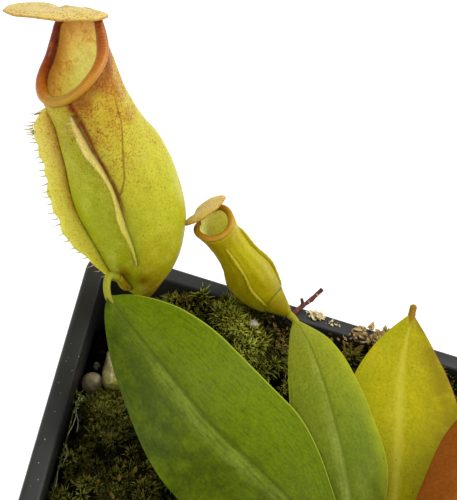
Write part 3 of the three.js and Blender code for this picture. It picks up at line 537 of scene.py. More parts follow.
class Finish:
    """A material in the making, with the one function that adds a node to it.

    The gloss is the share of the usual reflection, and the glow the share of the light that spreads
    under the surface, as far as the reach in millimetres for red, green and blue. Every material reads
    where its points are and the marks kept on them."""

    def __init__(self, name, ior, gloss=1.0, glow=0.0, reach=(1, 1, 1), **sockets):
        self.material = bpy.data.materials.new(name)
        self.material.use_nodes = True
        self.tree = self.material.node_tree
        self.tree.nodes.clear()
        sockets |= {"IOR": ior, "Specular IOR Level": gloss / 2}
        if glow:
            sockets |= {"Subsurface Weight": glow, "Subsurface Radius": reach, "Subsurface Scale": MM}
        surface = self.add("BsdfPrincipled", **sockets)
        self.shader = surface.node
        self.add("OutputMaterial", surface, out=None)
        self.where = self.add("TexCoord", out="Object")
        kept = [self.add("Attribute", attribute_name=mark, out="Vector") for mark in ("place", "tint")]
        self.place, self.tint = (self.add("SeparateXYZ", mark, out=None) for mark in kept)

    def add(self, kind, *values, out=0, stops=(), **settings):
        """Adds a node, and returns one of its outputs or, for None, all of them.

        Values go to its open inputs in their order. A setting with a capital is an input's name, and
        one with a small letter a property of the node."""
        settings = USUAL.get(kind, {}) | settings
        node = self.tree.nodes.new("ShaderNode" + kind)
        for name in [name for name in settings if name[0].islower()]:
            setattr(node, name, settings.pop(name))
        for number, (position, colour) in enumerate(stops):
            elements = node.color_ramp.elements
            element = elements[number] if number < len(elements) else elements.new(1.0)
            element.position = position
            element.color = linear(colour) if isinstance(colour, str) else colour
        inputs = [socket for socket in node.inputs if socket.enabled]
        named = [(node.inputs[name], value) for name, value in settings.items()]
        for socket, value in [*zip(inputs, values), *named]:
            if isinstance(value, bpy.types.NodeSocket):
                self.tree.links.new(value, socket)
            else:
                socket.default_value = linear(value) if isinstance(value, str) else value
        if isinstance(out, int):
            return [socket for socket in node.outputs if socket.enabled][out]
        return node.outputs[out] if out else node.outputs

    def coat(self, colour, roughness=None, height=None, depth=0.1, strength=1.0):
        """Gives the shader its colour, its roughness and a relief of that many millimetres, and
        returns the material."""
        made = {"Base Color": colour, "Roughness": roughness}
        if height:
            made["Normal"] = self.add("Bump", Strength=strength, Distance=depth * MM, Height=height)
        for name, value in made.items():
            if value:
                self.tree.links.new(value, self.shader.inputs[name])
        return self.material


# Settings of a product of two values, and of a mix in which the second colour darkens the first
TIMES = {"operation": "MULTIPLY"}
SHADED = {"blend_type": "MULTIPLY"}


def moulded_polypropylene(colour):
    """Black polypropylene, injection moulded: an even satin skin with a fine grain and a little dust."""
    finish = Finish("moulded_black_polypropylene", 1.49, 0.55)
    add, where = finish.add, finish.where
    cloud = add("TexNoise", where, per_metre(9), 4)
    dark, pale = (tuple(c * share for c in colour) + (1.0,) for share in (0.8, 1.45))
    base = add("ValToRGB", cloud, stops=[(0.3, dark), (0.7, pale)])
    specks = add("TexVoronoi", where, per_metre(3.2), out=None)
    close = add("MapRange", specks["Distance"], 0.035, 0.06, 1.0, 0.0)
    lot = add("Math", add("Math", specks["Color"], 7.3, **TIMES), operation="FRACT")
    rare = add("MapRange", lot, 0.55, 0.6)
    upward = add("SeparateXYZ", add("NewGeometry", out="Normal"), out="Z")
    dust = add("Math", close, rare, **TIMES)
    dust = add("Math", dust, add("MapRange", upward, 0.3, 0.9), **TIMES)
    base = add("Mix", dust, base, "#a8a59a")
    rough = add("MapRange", add("TexNoise", where, per_metre(2.5), 3), 0.2, 0.8, 0.36, 0.5)
    return finish.coat(base, rough, add("TexNoise", where, per_metre(0.35), 3), depth=0.03, strength=0.6)


def damp_peat():
    """Damp peat with bits of bark: near black, rough, with a few wet glints."""
    finish = Finish("damp_peat_and_bark", 1.4, 0.15)
    add, where, tint = finish.add, finish.where, finish.tint
    soil = add("TexNoise", where, per_metre(1.6), 5)
    soil = add("ValToRGB", soil, stops=[(0.3, "#040301"), (0.6, "#0d0903"), (0.85, "#20160a")])
    bark = add("TexNoise", where, per_metre(0.8), 4)
    bark = add("ValToRGB", bark, stops=[(0.3, "#080401"), (0.75, "#2e1e0c")])
    base = add("Mix", tint["X"], soil, bark)
    rough = add("MapRange", add("TexNoise", where, per_metre(1.1), 3), 0.35, 0.7, 0.55, 0.95)
    return finish.coat(base, rough, add("TexNoise", where, per_metre(0.5), 5), depth=0.25)


def living_moss(name, root, middle, tip):
    """Living moss: thin translucent leaflets, pale at their tips and brown where they are old."""
    finish = Finish(name, 1.4, 0.2, Roughness=0.6)
    add, where, place, tint = finish.add, finish.where, finish.place, finish.tint
    fresh = add("ValToRGB", place["X"], stops=[(0.0, root), (0.45, middle), (1.0, tip)])
    old = add("ValToRGB", place["X"], stops=[(0.0, "#120c03"), (0.6, "#4a3412"), (1.0, "#9a7a36")])
    base = add("Mix", tint["Y"], fresh, old)
    shade = add("ValToRGB", tint["X"], stops=[(0.0, "#505050"), (0.5, "#b8b8b8"), (1.0, "#ffffff")])
    base = add("Mix", 1.0, base, shade, **SHADED)
    return finish.coat(base, height=add("TexNoise", where, per_metre(0.25)), depth=0.05)


def green_stem():
    """A young green stem, smooth and a little fibrous, browner at its foot."""
    finish = Finish("young_green_stem", 1.42, 0.5, Roughness=0.5)
    add, where, place = finish.add, finish.where, finish.place
    fibre = add("TexNoise", add("Mapping", where, Scale=(1, 1, 0.12)), per_metre(0.6), 3)
    tones = add("ValToRGB", fibre, stops=[(0.3, "#66701f"), (0.7, "#98a03c")])
    height = add("MapRange", place["X"], 0.0, 0.55, 1.0, 0.0)
    base = add("Mix", height, tones, "#4c3b1a")
    return finish.coat(base, height=fibre, depth=0.12)


def waxy_leaf(name, tones, wax):
    """A pitcher plant's leaf under its waxy cuticle: lengthwise veins, a paler midrib and margin, fine
    speckles, soft gloss, painted shade over its left half and a painted sheen beside its lower midrib."""
    finish = Finish(name, 1.45, 0.12)
    add, where, place, tint = finish.add, finish.where, finish.place, finish.tint
    across = add("Math", place["Y"], operation="ABSOLUTE")
    stops = [(0.0, tones["foot"]), (0.45, tones["blade"]), (1.0, tones["point"])]
    base = add("ValToRGB", place["X"], stops=stops)
    # Painted shade: the leaf darkens towards the left tone across its width, most over its left half
    left = add("MapRange", place["Y"], -0.75, 0.75)
    left = add("Math", left, tones["painted_shade_share"], **TIMES)
    base = add("Mix", left, base, tones["left"])
    cloud = add("TexNoise", where, per_metre(3.2), 4, 0.6)
    cloud = add("MapRange", cloud, 0.35, 0.75, 0.0, 0.5)
    base = add("Mix", cloud, base, tones["cloud"])
    flat = add("CombineXYZ", place["X"], place["Y"])
    flat = add("Mapping", flat, Scale=(9.0, 11.0, 1.0))
    streak_and_sheen = add("TexNoise", flat, 2.2, 5, 0.65)
    pale = add("MapRange", streak_and_sheen, 0.5, 0.75, 0.0, 0.22)
    beside = add("MapRange", across, 0.05, 0.75, 1.0, 0.25)
    base = add("Mix", add("Math", pale, beside, **TIMES), base, tones["cloud"])
    deep = add("MapRange", streak_and_sheen, 0.52, 0.32, 0.0, 0.42)
    base = add("Mix", deep, base, tones["left"])
    # Painted sheen: a pale band just left of the midrib towards the leaf's foot, patchy along the streaks
    painted_sheen = add("Math", add("Math", place["Y"], 0.13, operation="SUBTRACT"), operation="ABSOLUTE")
    painted_sheen = add("MapRange", painted_sheen, 0.03, 0.2, 0.35, 0.0)
    painted_sheen = add("Math", painted_sheen, add("MapRange", place["X"], 0.9, 0.7), **TIMES)
    patchy = add("Math", streak_and_sheen, add("TexNoise", where, per_metre(5)), operation="ADD")
    patchy = add("MapRange", patchy, 0.6, 1.3)
    base = add("Mix", add("Math", painted_sheen, patchy, **TIMES), base, tones["streak_and_sheen"])
    fine = add("TexNoise", where, per_metre(0.45), 3)
    fine = add("ValToRGB", fine, stops=[(0.3, "#c4c4c4"), (0.65, "#ffffff")])
    base = add("Mix", 0.55, base, fine, **SHADED)
    veins_each_side = 9
    lines = add("Math", across, 2 * math.pi * veins_each_side, **TIMES)
    lines = add("Math", lines, operation="SINE")
    veins = add("MapRange", lines, 0.6, 1.0)
    faint = add("MapRange", add("TexNoise", where, per_metre(6)), 0.4, 0.7, 0.0, 0.06)
    faint = add("Math", veins, faint, **TIMES)
    base = add("Mix", faint, base, tones["rib"])
    wander = add("Math", add("TexNoise", where, per_metre(2.0)), 0.5, operation="SUBTRACT")
    wander = add("Math", wander, 0.06, **TIMES)
    band = add("Math", across, wander, operation="ADD")
    band = add("MapRange", band, 0.0, tones["rib_width"], 1.0, 0.0)
    band = add("Math", band, tones["rib_share"], **TIMES)
    base = add("Mix", band, base, tones["rib"])
    flush = add("Math", tones["side"], place["Y"], operation="SUBTRACT")
    flush = add("MapRange", flush, 0.35, 1.0)
    uneven = add("MapRange", add("TexNoise", where, per_metre(3), 3), 0.3, 0.6, 0.3, 0.9)
    flush = add("Math", flush, uneven, **TIMES)
    base = add("Mix", flush, base, tones["flush"])
    # The paler margin shows only on the half without the painted shade
    edge = add("MapRange", across, 0.965, 0.995)
    right = add("Math", 0.9, left, operation="SUBTRACT")
    base = add("Mix", add("Math", edge, right, **TIMES), base, tones["margin"])
    under = add("MapRange", place["Z"], 0.4, 0.6)
    base = add("Mix", add("Math", under, 0.7, **TIMES), base, tones["under"])
    base = add("Mix", tint["X"], base, tones["tendril"])
    spots = add("TexVoronoi", where, per_metre(2.4))
    pores = add("MapRange", spots, 0.045, 0.08, 0.5, 0.0)
    base = add("Mix", pores, base, "#4a3a10")
    rough = add("TexNoise", where, per_metre(1.4), 3)
    rough = add("MapRange", rough, 0.3, 0.7, wax - 0.05, wax + 0.12)
    ridges = add("Math", veins, 0.16, **TIMES)
    skin = add("Math", add("TexNoise", where, per_metre(0.6), 4, 0.7), ridges, operation="ADD")
    return finish.coat(base, rough, skin, depth=0.09)


def pitcher_skin(name, tones):
    """The taut, faintly translucent skin of a pitcher: lime below, mottled with red-brown above, ochre
    and blotched on its inside."""
    finish = Finish(name, 1.44, 0.3, 0.8, tones["reach"])
    add, where, place, tint = finish.add, finish.where, finish.place, finish.tint
    base = add("ValToRGB", place["X"], stops=tones["outside"])
    base = add("Mix", tint["Z"], base, tones["front"])
    cloud = add("TexNoise", where, per_metre(2.2), 4, 0.6)
    cloud = add("MapRange", cloud, 0.4, 0.75, 0.0, 0.4)
    base = add("Mix", cloud, base, tones["cloud"])
    wing = add("ValToRGB", place["X"], stops=tones["wing"])
    base = add("Mix", place["Y"], base, wing)
    # On the small pitcher the first tint also carries painted shade on the side away from the light
    flushed = add("MapRange", add("TexNoise", where, per_metre(2.6), 3), 0.35, 0.7, 0.15, 0.65)
    flushed = add("Math", tint["X"], flushed, **TIMES)
    base = add("Mix", flushed, base, tones["flush"])
    blotch = add("TexNoise", where, per_metre(0.3), 3, 0.75, Distortion=0.6)
    patch = add("MapRange", add("TexNoise", where, per_metre(2.6)), 0.3, 0.7, 0.05, 0.2)
    level = add("Math", blotch, add("Math", tint["X"], patch, **TIMES), operation="ADD")
    mottled = add("MapRange", level, 0.56, 0.68)
    base = add("Mix", add("Math", mottled, 0.72, **TIMES), base, tones["mottle"])
    ragged = add("MapRange", add("TexNoise", where, per_metre(0.7), 3), 0.25, 0.5, 0.55, 1.0)
    ragged = add("Math", tint["Y"], ragged, **TIMES)
    base = add("Mix", ragged, base, tones["stain"])
    inner = add("ValToRGB", place["X"], stops=tones["inside"])
    spots = add("TexNoise", where, per_metre(1.1), 4, 0.65, Distortion=0.8)
    spots = add("MapRange", spots, 0.45, 0.7, 0.0, 0.75)
    near_mouth = add("MapRange", place["X"], 0.8, 0.98, 0.12, 1.0)
    spots = add("Math", spots, near_mouth, **TIMES)
    inner = add("Mix", spots, inner, tones["inside_blotch"])
    base = add("Mix", place["Z"], base, inner)
    fine = add("TexNoise", where, per_metre(0.35))
    fine = add("ValToRGB", fine, stops=[(0.3, "#cfcfcf"), (0.65, "#ffffff")])
    base = add("Mix", 0.5, base, fine, **SHADED)
    rough = add("MapRange", add("TexNoise", where, per_metre(1.0), 3), 0.3, 0.7, 0.32, 0.48)
    return finish.coat(base, rough, add("TexNoise", where, per_metre(0.4), 3), depth=0.04, strength=0.7)


def glossy_rim(name, stops, inner_edge):
    """The ribbed rim round the mouth, hard and glossy with nectar, its colour changing on the way
    round, and painted shade in the grooves between its ribs."""
    finish = Finish(name, 1.48, 0.45, 0.3, (1.2, 0.6, 0.2))
    add, where, place = finish.add, finish.where, finish.place
    base = add("ValToRGB", place["X"], stops=stops)
    # Painted shade in the grooves between the ribs
    groove = add("ValToRGB", place["Y"], stops=[(0.0, "#cdb9a4"), (0.7, "#ffffff")])
    base = add("Mix", 0.8, base, groove, **SHADED)
    patches = add("MapRange", add("TexNoise", where, per_metre(1.5), 3), 0.45, 0.7, 0.0, 0.35)
    base = add("Mix", patches, base, "#c98428")
    inner = add("MapRange", place["Z"], 0.0, 0.16, 0.75, 0.0)
    base = add("Mix", inner, base, inner_edge)
    outer = add("MapRange", place["Z"], 0.8, 1.0, 0.0, 0.4)
    base = add("Mix", outer, base, "#c9963a")
    rough = add("MapRange", add("TexNoise", where, per_metre(0.8)), 0.3, 0.7, 0.22, 0.36)
    return finish.coat(base, rough)


def speckled_lid(name, upper, lower, speck, edge):
    """The leathery lid, golden with dense brown speckles and a reddish margin."""
    finish = Finish(name, 1.44, 0.3, 0.5, (1.4, 1.0, 0.4))
    add, where, place = finish.add, finish.where, finish.place
    base = add("Mix", place["Z"], upper, lower)
    cloud = add("MapRange", add("TexNoise", where, per_metre(3), 3), 0.35, 0.7, 0.0, 0.5)
    base = add("Mix", cloud, base, "#d0ba72")
    dots = add("TexVoronoi", where, per_metre(0.36))
    sizes = add("MapRange", add("TexNoise", where, per_metre(1.3)), 0.3, 0.6, 0.28, 0.46)
    inside = add("Math", dots, sizes, operation="SUBTRACT")
    inside = add("MapRange", inside, -0.1, 0.05, 0.6, 0.0)
    base = add("Mix", inside, base, speck)
    rim = add("MapRange", place["X"], 0.965, 1.0, 0.0, 0.6)
    base = add("Mix", rim, base, edge)
    rough = add("MapRange", add("TexNoise", where, per_metre(0.9)), 0.3, 0.7, 0.42, 0.6)
    return finish.coat(base, rough, add("TexNoise", where, per_metre(0.6), 3), depth=0.06)


def soft_spine():
    """The fringe's soft spines and hairs: pale, dry and slightly see-through."""
    finish = Finish("soft_pale_spine", 1.4, 0.4, Roughness=0.5)
    add, where, place = finish.add, finish.where, finish.place
    base = add("ValToRGB", place["X"], stops=[(0.0, "#b8ae50"), (0.5, "#c8b878"), (1.0, "#b08a50")])
    dark = add("MapRange", add("TexNoise", where, per_metre(0.4)), 0.4, 0.6, 0.0, 0.3)
    base = add("Mix", dark, base, "#8a5a20")
    return finish.coat(base)


def dry_twig():
    """A dry reddish twig whose thin bark has flaked off in pale spots."""
    finish = Finish("dry_red_brown_twig", 1.45, 0.6)
    add, where = finish.add, finish.where
    bark = add("TexNoise", add("Mapping", where, Scale=(1, 0.35, 1)), per_metre(0.7), 4)
    base = add("ValToRGB", bark, stops=[(0.3, "#2a0f0b"), (0.55, "#5b2c20"), (0.75, "#8a5640")])
    flakes = add("MapRange", add("TexNoise", where, per_metre(0.9)), 0.66, 0.7)
    base = add("Mix", flakes, base, "#d8b46a")
    rough = add("MapRange", bark, 0.3, 0.7, 0.45, 0.75)
    return finish.coat(base, rough, bark, depth=0.12)


def resin_bead():
    """A bead of plant food in its resin coat: cloudy beige, smooth and slightly see-through."""
    finish = Finish("resin_coated_bead", 1.5, 0.8, 0.6, (1.5, 1.2, 0.8))
    add, where = finish.add, finish.where
    cloud = add("TexNoise", where, per_metre(1.6), 4)
    base = add("ValToRGB", cloud, stops=[(0.3, "#6e6248"), (0.7, "#a5997a")])
    rough = add("MapRange", add("TexNoise", where, per_metre(0.5)), 0.3, 0.7, 0.25, 0.45)
    return finish.coat(base, rough, add("TexNoise", where, per_metre(0.6)), depth=0.03)


def bark_chip():
    """A chip of pale fibrous bark, rough along its fibres, green with young moss at its low end."""
    finish = Finish("pale_fibrous_bark", 1.4, 0.4, Roughness=0.85)
    add, where, place = finish.add, finish.where, finish.place
    fibre = add("TexNoise", add("Mapping", where, Scale=(1, 0.2, 1)), per_metre(0.5), 4)
    base = add("ValToRGB", fibre, stops=[(0.3, "#8f8448"), (0.55, "#c9bf84"), (0.8, "#e6dfb4")])
    mossy = add("Math", add("TexNoise", where, per_metre(1.2)), 0.5, **TIMES)
    mossy = add("Math", place["X"], mossy, operation="ADD")
    base = add("Mix", add("MapRange", mossy, 0.95, 1.3), base, "#6e6c1c")
    return finish.coat(base, height=fibre, depth=0.2)


def rough_grit(name, dark, pale):
    """Rough grit, or moss and leaf dried to a crumb: matt, finely pitted and mottled from dark to pale."""
    finish = Finish(name, 1.5, 0.5, Roughness=0.85)
    add, where = finish.add, finish.where
    base = add("ValToRGB", add("TexNoise", where, per_metre(0.5), 4), stops=[(0.3, dark), (0.7, pale)])
    return finish.coat(base, height=add("TexNoise", where, per_metre(0.25), 4), depth=0.08)


def matt_paper(colour):
    """The studio's seamless paper, matt and even."""
    finish = Finish("seamless_paper", 1.45, 0.3, Roughness=0.95)
    add, where = finish.add, finish.where
    pulp = add("TexNoise", where, per_metre(1.5), 3)
    pale, dim = (tuple(c * share for c in colour) + (1.0,) for share in (1.0, 0.9))
    base = add("Mix", add("MapRange", pulp, 0.3, 0.7, 0.0, 0.05), pale, dim)
    return finish.coat(base)


# The leaves' tones. The left tone is painted shade over a leaf's left half, at the strength given after
# it, and also the colour of its dark streaks; the streak tone is a painted sheen beside the lower midrib.
LEAF_TONES = {
    "green": {
        "foot": "#4a5802", "blade": "#647600", "point": "#5e7000", "left": "#344200",
        "painted_shade_share": 0.95, "cloud": "#667800", "rib": "#364400", "rib_share": 0.65, "rib_width": 0.06,
        "streak_and_sheen": "#8c9a3c", "side": -1.0, "flush": "#96a02c", "margin": "#96a02c", "under": "#7d8a30",
        "tendril": "#8f8f28",
    },
    "olive": {
        "foot": "#445204", "blade": "#687818", "point": "#a4a624", "left": "#566310",
        "painted_shade_share": 0.55, "cloud": "#808a20", "rib": "#4c5c0a", "rib_share": 0.6, "rib_width": 0.07,
        "streak_and_sheen": "#98a04c", "side": -0.2, "flush": "#9ca41c", "margin": "#a4a41c", "under": "#868c38",
        "tendril": "#9a9424",
    },
    "yellow": {
        "foot": "#6e6600", "blade": "#9e9600", "point": "#a89c12", "left": "#9a9a00", "painted_shade_share": 0.6,
        "cloud": "#b6a608", "rib": "#beb43c", "rib_share": 0.5, "rib_width": 0.14, "streak_and_sheen": "#bcae30",
        "side": 0.1, "flush": "#7c6c06", "margin": "#9c6424", "under": "#a89e38", "tendril": "#8f6c1c",
    },
    "orange": {
        "foot": "#5c2c00", "blade": "#743a04", "point": "#7c4008", "left": "#7c4408", "painted_shade_share": 0.4,
        "cloud": "#864a0c", "rib": "#90581a", "rib_share": 0.4, "rib_width": 0.15, "streak_and_sheen": "#a05a10",
        "side": 0.0, "flush": "#7c3c04", "margin": "#5c2804", "under": "#8a6024", "tendril": "#7a4c16",
    },
}
LEAF_FINISH = {
    "leaf_1": ("leaf_green", "green"), "leaf_2": ("leaf_green", "olive"),
    "leaf_3": ("leaf_yellow", "yellow"), "leaf_4": ("leaf_orange", "orange"),
    "leaf_5": ("leaf_green", "olive"), "leaf_6": ("leaf_green", "green"),
    "leaf_7": ("leaf_green", "green"),
}


# The pot and what it holds


def round_square(half, radius, height, corner_steps=12, side_steps=1):
    """A square with round corners at one height, counter-clockwise seen from above."""
    straight = half - radius
    turns = np.linspace(0, np.pi / 2, corner_steps + 1)
    outline = np.stack([straight + radius * np.cos(turns), straight + radius * np.sin(turns)], -1)
    shares = np.arange(1, side_steps) / side_steps
    side = np.stack([straight * (1 - 2 * shares), np.full(len(shares), half)], -1)
    outline = np.concatenate([outline, side])
    quarter = np.array([[0.0, 1.0], [-1.0, 0.0]])
    loop = np.concatenate([outline @ np.linalg.matrix_power(quarter, k) for k in range(4)])
    return np.concatenate([loop, np.full((len(loop), 1), height)], axis=1)


def pot_inside(height):
    """Half the width of the pot's inside at a height."""
    top = POT_SIDE / 2 - POT["lip"]
    bottom = POT["base"] / 2 - POT["wall"]
    return bottom + (top - bottom) * height / POT_HEIGHT


def rounded(half, height, radius, start, end, steps, corner):
    """Sections of a quarter-round edge: half-width, height and corner radius."""
    turns = np.radians(np.linspace(start, end, steps + 1))
    return [[half + radius * math.cos(t), height + radius * math.sin(t), corner] for t in turns]


def make_pot(settings):
    """The pot, lofted through one section from its foot over the rim to the floor, and drilled."""
    outer = POT_SIDE / 2
    corner, inner = POT["corner"], POT["inner_corner"]
    under_shelf = POT_HEIGHT - POT["shelf"]
    skirt_foot = POT_HEIGHT - POT["collar"]
    skirt_inside = outer - POT["skirt"]
    draught = 0.3  # by which the skirt narrows to its foot
    edge = 0.2  # by which a sharp edge is broken
    soft, inner_soft = POT["rounding"], POT["inner_rounding"]
    lip_inside = outer - POT["lip"] + inner_soft
    foot = POT["base"] / 2 - POT["foot_chamfer"]
    section = [
        *rounded(foot, POT["foot_chamfer"], POT["foot_chamfer"], -90, 0, 4, corner),
        [pot_inside(under_shelf) + POT["wall"], under_shelf - 2 * edge, corner],
        [pot_inside(under_shelf) + POT["wall"] + draught, under_shelf, corner],
        [skirt_inside - draught / 3, under_shelf, corner],
        [skirt_inside - draught - edge / 2, skirt_foot + edge, corner],
        [skirt_inside - draught + edge / 2, skirt_foot, corner],
        [outer - draught - edge, skirt_foot, corner],
        [outer - draught, skirt_foot + edge, corner],
        *rounded(outer - soft, POT_HEIGHT - soft, soft, 0, 90, 8, corner),
        *rounded(lip_inside, POT_HEIGHT - inner_soft, inner_soft, 90, 180, 6, inner),
        [pot_inside(POT["floor"] + 1), POT["floor"] + 1, inner],
        [pot_inside(POT["floor"]) - 1, POT["floor"], inner],
    ]
    rings = [round_square(half, radius, height) for half, height, radius in section]
    shape = add_loft(Shape(), rings)
    material = moulded_polypropylene(settings.pot_colour)
    pot = shape.piece("nursery_pot", "pot", material, ["pot"])
    place = POT["base"] / 2 - POT["drain_inset"]
    cutters = Shape()
    for x, y in itertools.product((-place, 0, place), repeat=2):
        if (x, y) != (0, 0):
            path = [[x, y, z] for z in (-POT["floor"], 3 * POT["floor"])]
            add_loft(cutters, tube_rings(path, POT["drain"] / 2, 32))
    drill = cutters.piece("drill", "pot", material)
    cut = pot.modifiers.new("drainage", "BOOLEAN")
    cut.operation, cut.solver, cut.object = "DIFFERENCE", "EXACT", drill
    drilled = bpy.data.meshes.new_from_object(pot.evaluated_get(bpy.context.evaluated_depsgraph_get()))
    pot.modifiers.clear()
    pot.data = drilled
    drilled.set_sharp_from_angle(angle=math.radians(35))
    bpy.data.objects.remove(drill)


def mix_height(x, y):
    """The height of the growing mix at a place."""
    away = np.hypot(x - HOLLOW["x"], y - HOLLOW["y"]) / HOLLOW["reach"]
    beside_wall = (x - TRENCH["x"]) / TRENCH["reach"]
    reaches_in = smooth_step(y, -20, 0)
    waves = MIX["swell"] * np.sin(x / MIX["wave"] + 1) * np.cos(y / (MIX["wave"] - 1))
    hollow = HOLLOW["depth"] * np.exp(-away * away)
    trench = TRENCH["depth"] * reaches_in * np.exp(-beside_wall * beside_wall)
    return MIX["top"] - hollow - trench + waves


def make_growing_mix(settings):
    """The peat with its crumbs of bark, and a plain hole for the stem."""
    rng = np.random.default_rng(SEED)
    shape = Shape()
    corner_steps, side_steps, rows = 8, 40, 76
    lowest = MIX["top"] - HOLLOW["depth"] - TRENCH["depth"]
    inset = pot_inside(lowest) - CLEARANCE
    edge = round_square(inset, POT["inner_corner"], 0, corner_steps, side_steps)[:, :2]
    ring = STEM_HOLE * unit(edge)
    top = []
    for share in np.linspace(1, 0, rows):
        flat = mixed(ring, edge, share)
        height = mix_height(flat[:, 0], flat[:, 1])
        spots = np.column_stack([flat, np.full(len(flat), 7.0)])
        rough = 0.5 * lumps(spots, 2.2, 3) + 0.3 * lumps(spots, 0.9, 4)
        top.append(np.column_stack([flat, height + rough * min(1, 8 * (1 - share)) - 0.2]))
    bottom = POT["floor"] + CLEARANCE
    foot, shoulder = (
        round_square(half, POT["inner_corner"], height, corner_steps, side_steps)
        for half, height in ((pot_inside(bottom) - CLEARANCE, bottom), (inset, lowest - 1))
    )
    hole = np.column_stack([ring, np.full(len(ring), STEM[0][0] - CLEARANCE)])
    add_loft(shape, [foot, shoulder, *top, hole])
    least, most = 0.25, 1.8  # half the length of a crumb
    spots = rng.uniform(-inset + 1, inset - 1, (settings.crumbs, 2))
    spots = spots[np.hypot(*spots.T) > STEM_HOLE + 2]
    heights = mix_height(*spots.T)
    sizes = rng.gamma(2.2, 0.3, len(spots))[:, None] * rng.uniform(0.5, 1.5, (len(spots), 3)) + least
    sizes = np.minimum(sizes, most)
    ball, faces = lump_mesh(0)
    ball = ball * (1 + 0.25 * lumps(ball, 0.7, 5))[:, None]
    tilts = unit(rng.normal(0, 0.5, (len(spots), 3)) + UP)
    places = np.column_stack([spots, heights + sizes[:, 2] * 0.25])
    tones = marked(rng.uniform(0, 1, len(spots)) ** 2, 0.0, 0.0)
    axes = turned_axes(tilts, rng.uniform(0, 2 * np.pi, len(spots)))
    stamp(shape, ball, faces, places, axes, sizes, tints=tones)
    shape.piece("peat_and_bark", "growing_mix", damp_peat(), ["growing_mix"], smooth=False)


def cushion_point(cushion, turn, share):
    """The point of a cushion's top at a turn round it and a share of the way out."""
    x, y = cushion["x"], cushion["y"]
    wall = pot_inside(MIX["top"] - HOLLOW["depth"]) - CLEARANCE
    lobes = 1 + 0.07 * np.sin(3 * turn + x) + 0.05 * np.sin(5 * turn + y)
    limit = wall - CLEARANCE * (1 - share)
    px = np.clip(x + cushion["half_x"] * lobes * share * np.cos(turn), -limit, limit)
    py = np.clip(y + cushion["half_y"] * lobes * share * np.sin(turn), -limit, limit)
    ground = mix_height(px, py) + CLEARANCE
    crown = cushion["height"] * np.sqrt(1 - 0.97 * share**3)
    return np.stack([px, py, ground], -1), crown


# Shoots outside the even spread: a patch's middle, its spread along X and Y, their number and size.
EXTRA_MOSS = {
    "moss_left": [
        (-40.9, 26.0, 1.3, 1.3, 60, 1.05),
        (-39.0, 22.5, 2.0, 2.0, 60, 1.1),
        (-42.6, 17.0, 1.0, 3.5, 40, 0.8),
        (-40.0, 28.0, 0.9, 0.6, 30, 0.95),
        (-37.0, 14.0, 3.0, 5.0, 36, 1.15),
        (-37.0, 0.0, 4.0, 8.0, 30, 1.15),
    ],
    "moss_back_left": [
        (-26.1, 44.0, 0.8, 0.7, 9, 1.6),
        (-24.1, 42.3, 0.8, 0.8, 12, 1.7),
        (-22.0, 40.5, 0.8, 0.9, 14, 1.7),
        (-19.8, 38.8, 0.8, 0.9, 12, 1.6),
        (-32.5, 46.0, 2.2, 0.6, 12, 1.5),
        (-12.0, 40.5, 2.2, 1.6, 30, 1.0),
    ],
    "moss_back_right": [(-8.5, 42.0, 1.2, 1.8, 30, 1.0), (-4.2, 45.6, 1.3, 1.0, 34, 1.5)],
}


def against_wall(points):
    """Moves the points where a cushion is cut off by the pot out to the wall at their own height."""
    cut = pot_inside(MIX["top"] - HOLLOW["depth"]) - 2.5 * CLEARANCE
    wall = pot_inside(points[:, 2]) - CLEARANCE
    for k in (0, 1):
        aside = np.abs(points[:, k]) > cut
        points[:, k] = np.where(aside, np.sign(points[:, k]) * wall, points[:, k])
    return points


# The four faces of a leaflet, whose points are its root, the two sides of its belly and its tip
LEAFLET = ((0, 1, 2), (3, 2, 1), (0, 3, 1), (0, 2, 3))


def moss_shoot(rng, whorls=6, leaflets=6):
    """One shoot of moss: whorls of narrow pointed leaflets, one millimetre tall."""
    points, faces, tips = [], [], []
    for whorl in range(whorls):
        height = 0.1 + 0.75 * whorl / whorls
        rise = 0.15 + 1.1 * whorl / whorls
        for k in range(leaflets):
            turn = 2 * np.pi * (k + 0.5 * whorl + 0.45 * rng.uniform(-1, 1)) / leaflets
            out = np.array([math.cos(turn), math.sin(turn), 0])
            side = np.array([-math.sin(turn), math.cos(turn), 0])
            length = (0.95 - 0.07 * whorl) * rng.uniform(0.55, 1.35)
            lean = unit(out + UP * rise * rng.uniform(0.6, 1.5))
            root = UP * height
            belly = root + lean * length * 0.45
            tip = root + lean * length - UP * 0.1 * length
            at = len(points)
            points += [root - UP * 0.08, belly + side * 0.065, belly - side * 0.065, tip]
            faces += [[at + k for k in corners] for corners in LEAFLET]
            tips += [0.1, 0.5, 0.5, 1.0]
    return np.array(points), np.array(faces), np.array(tips)


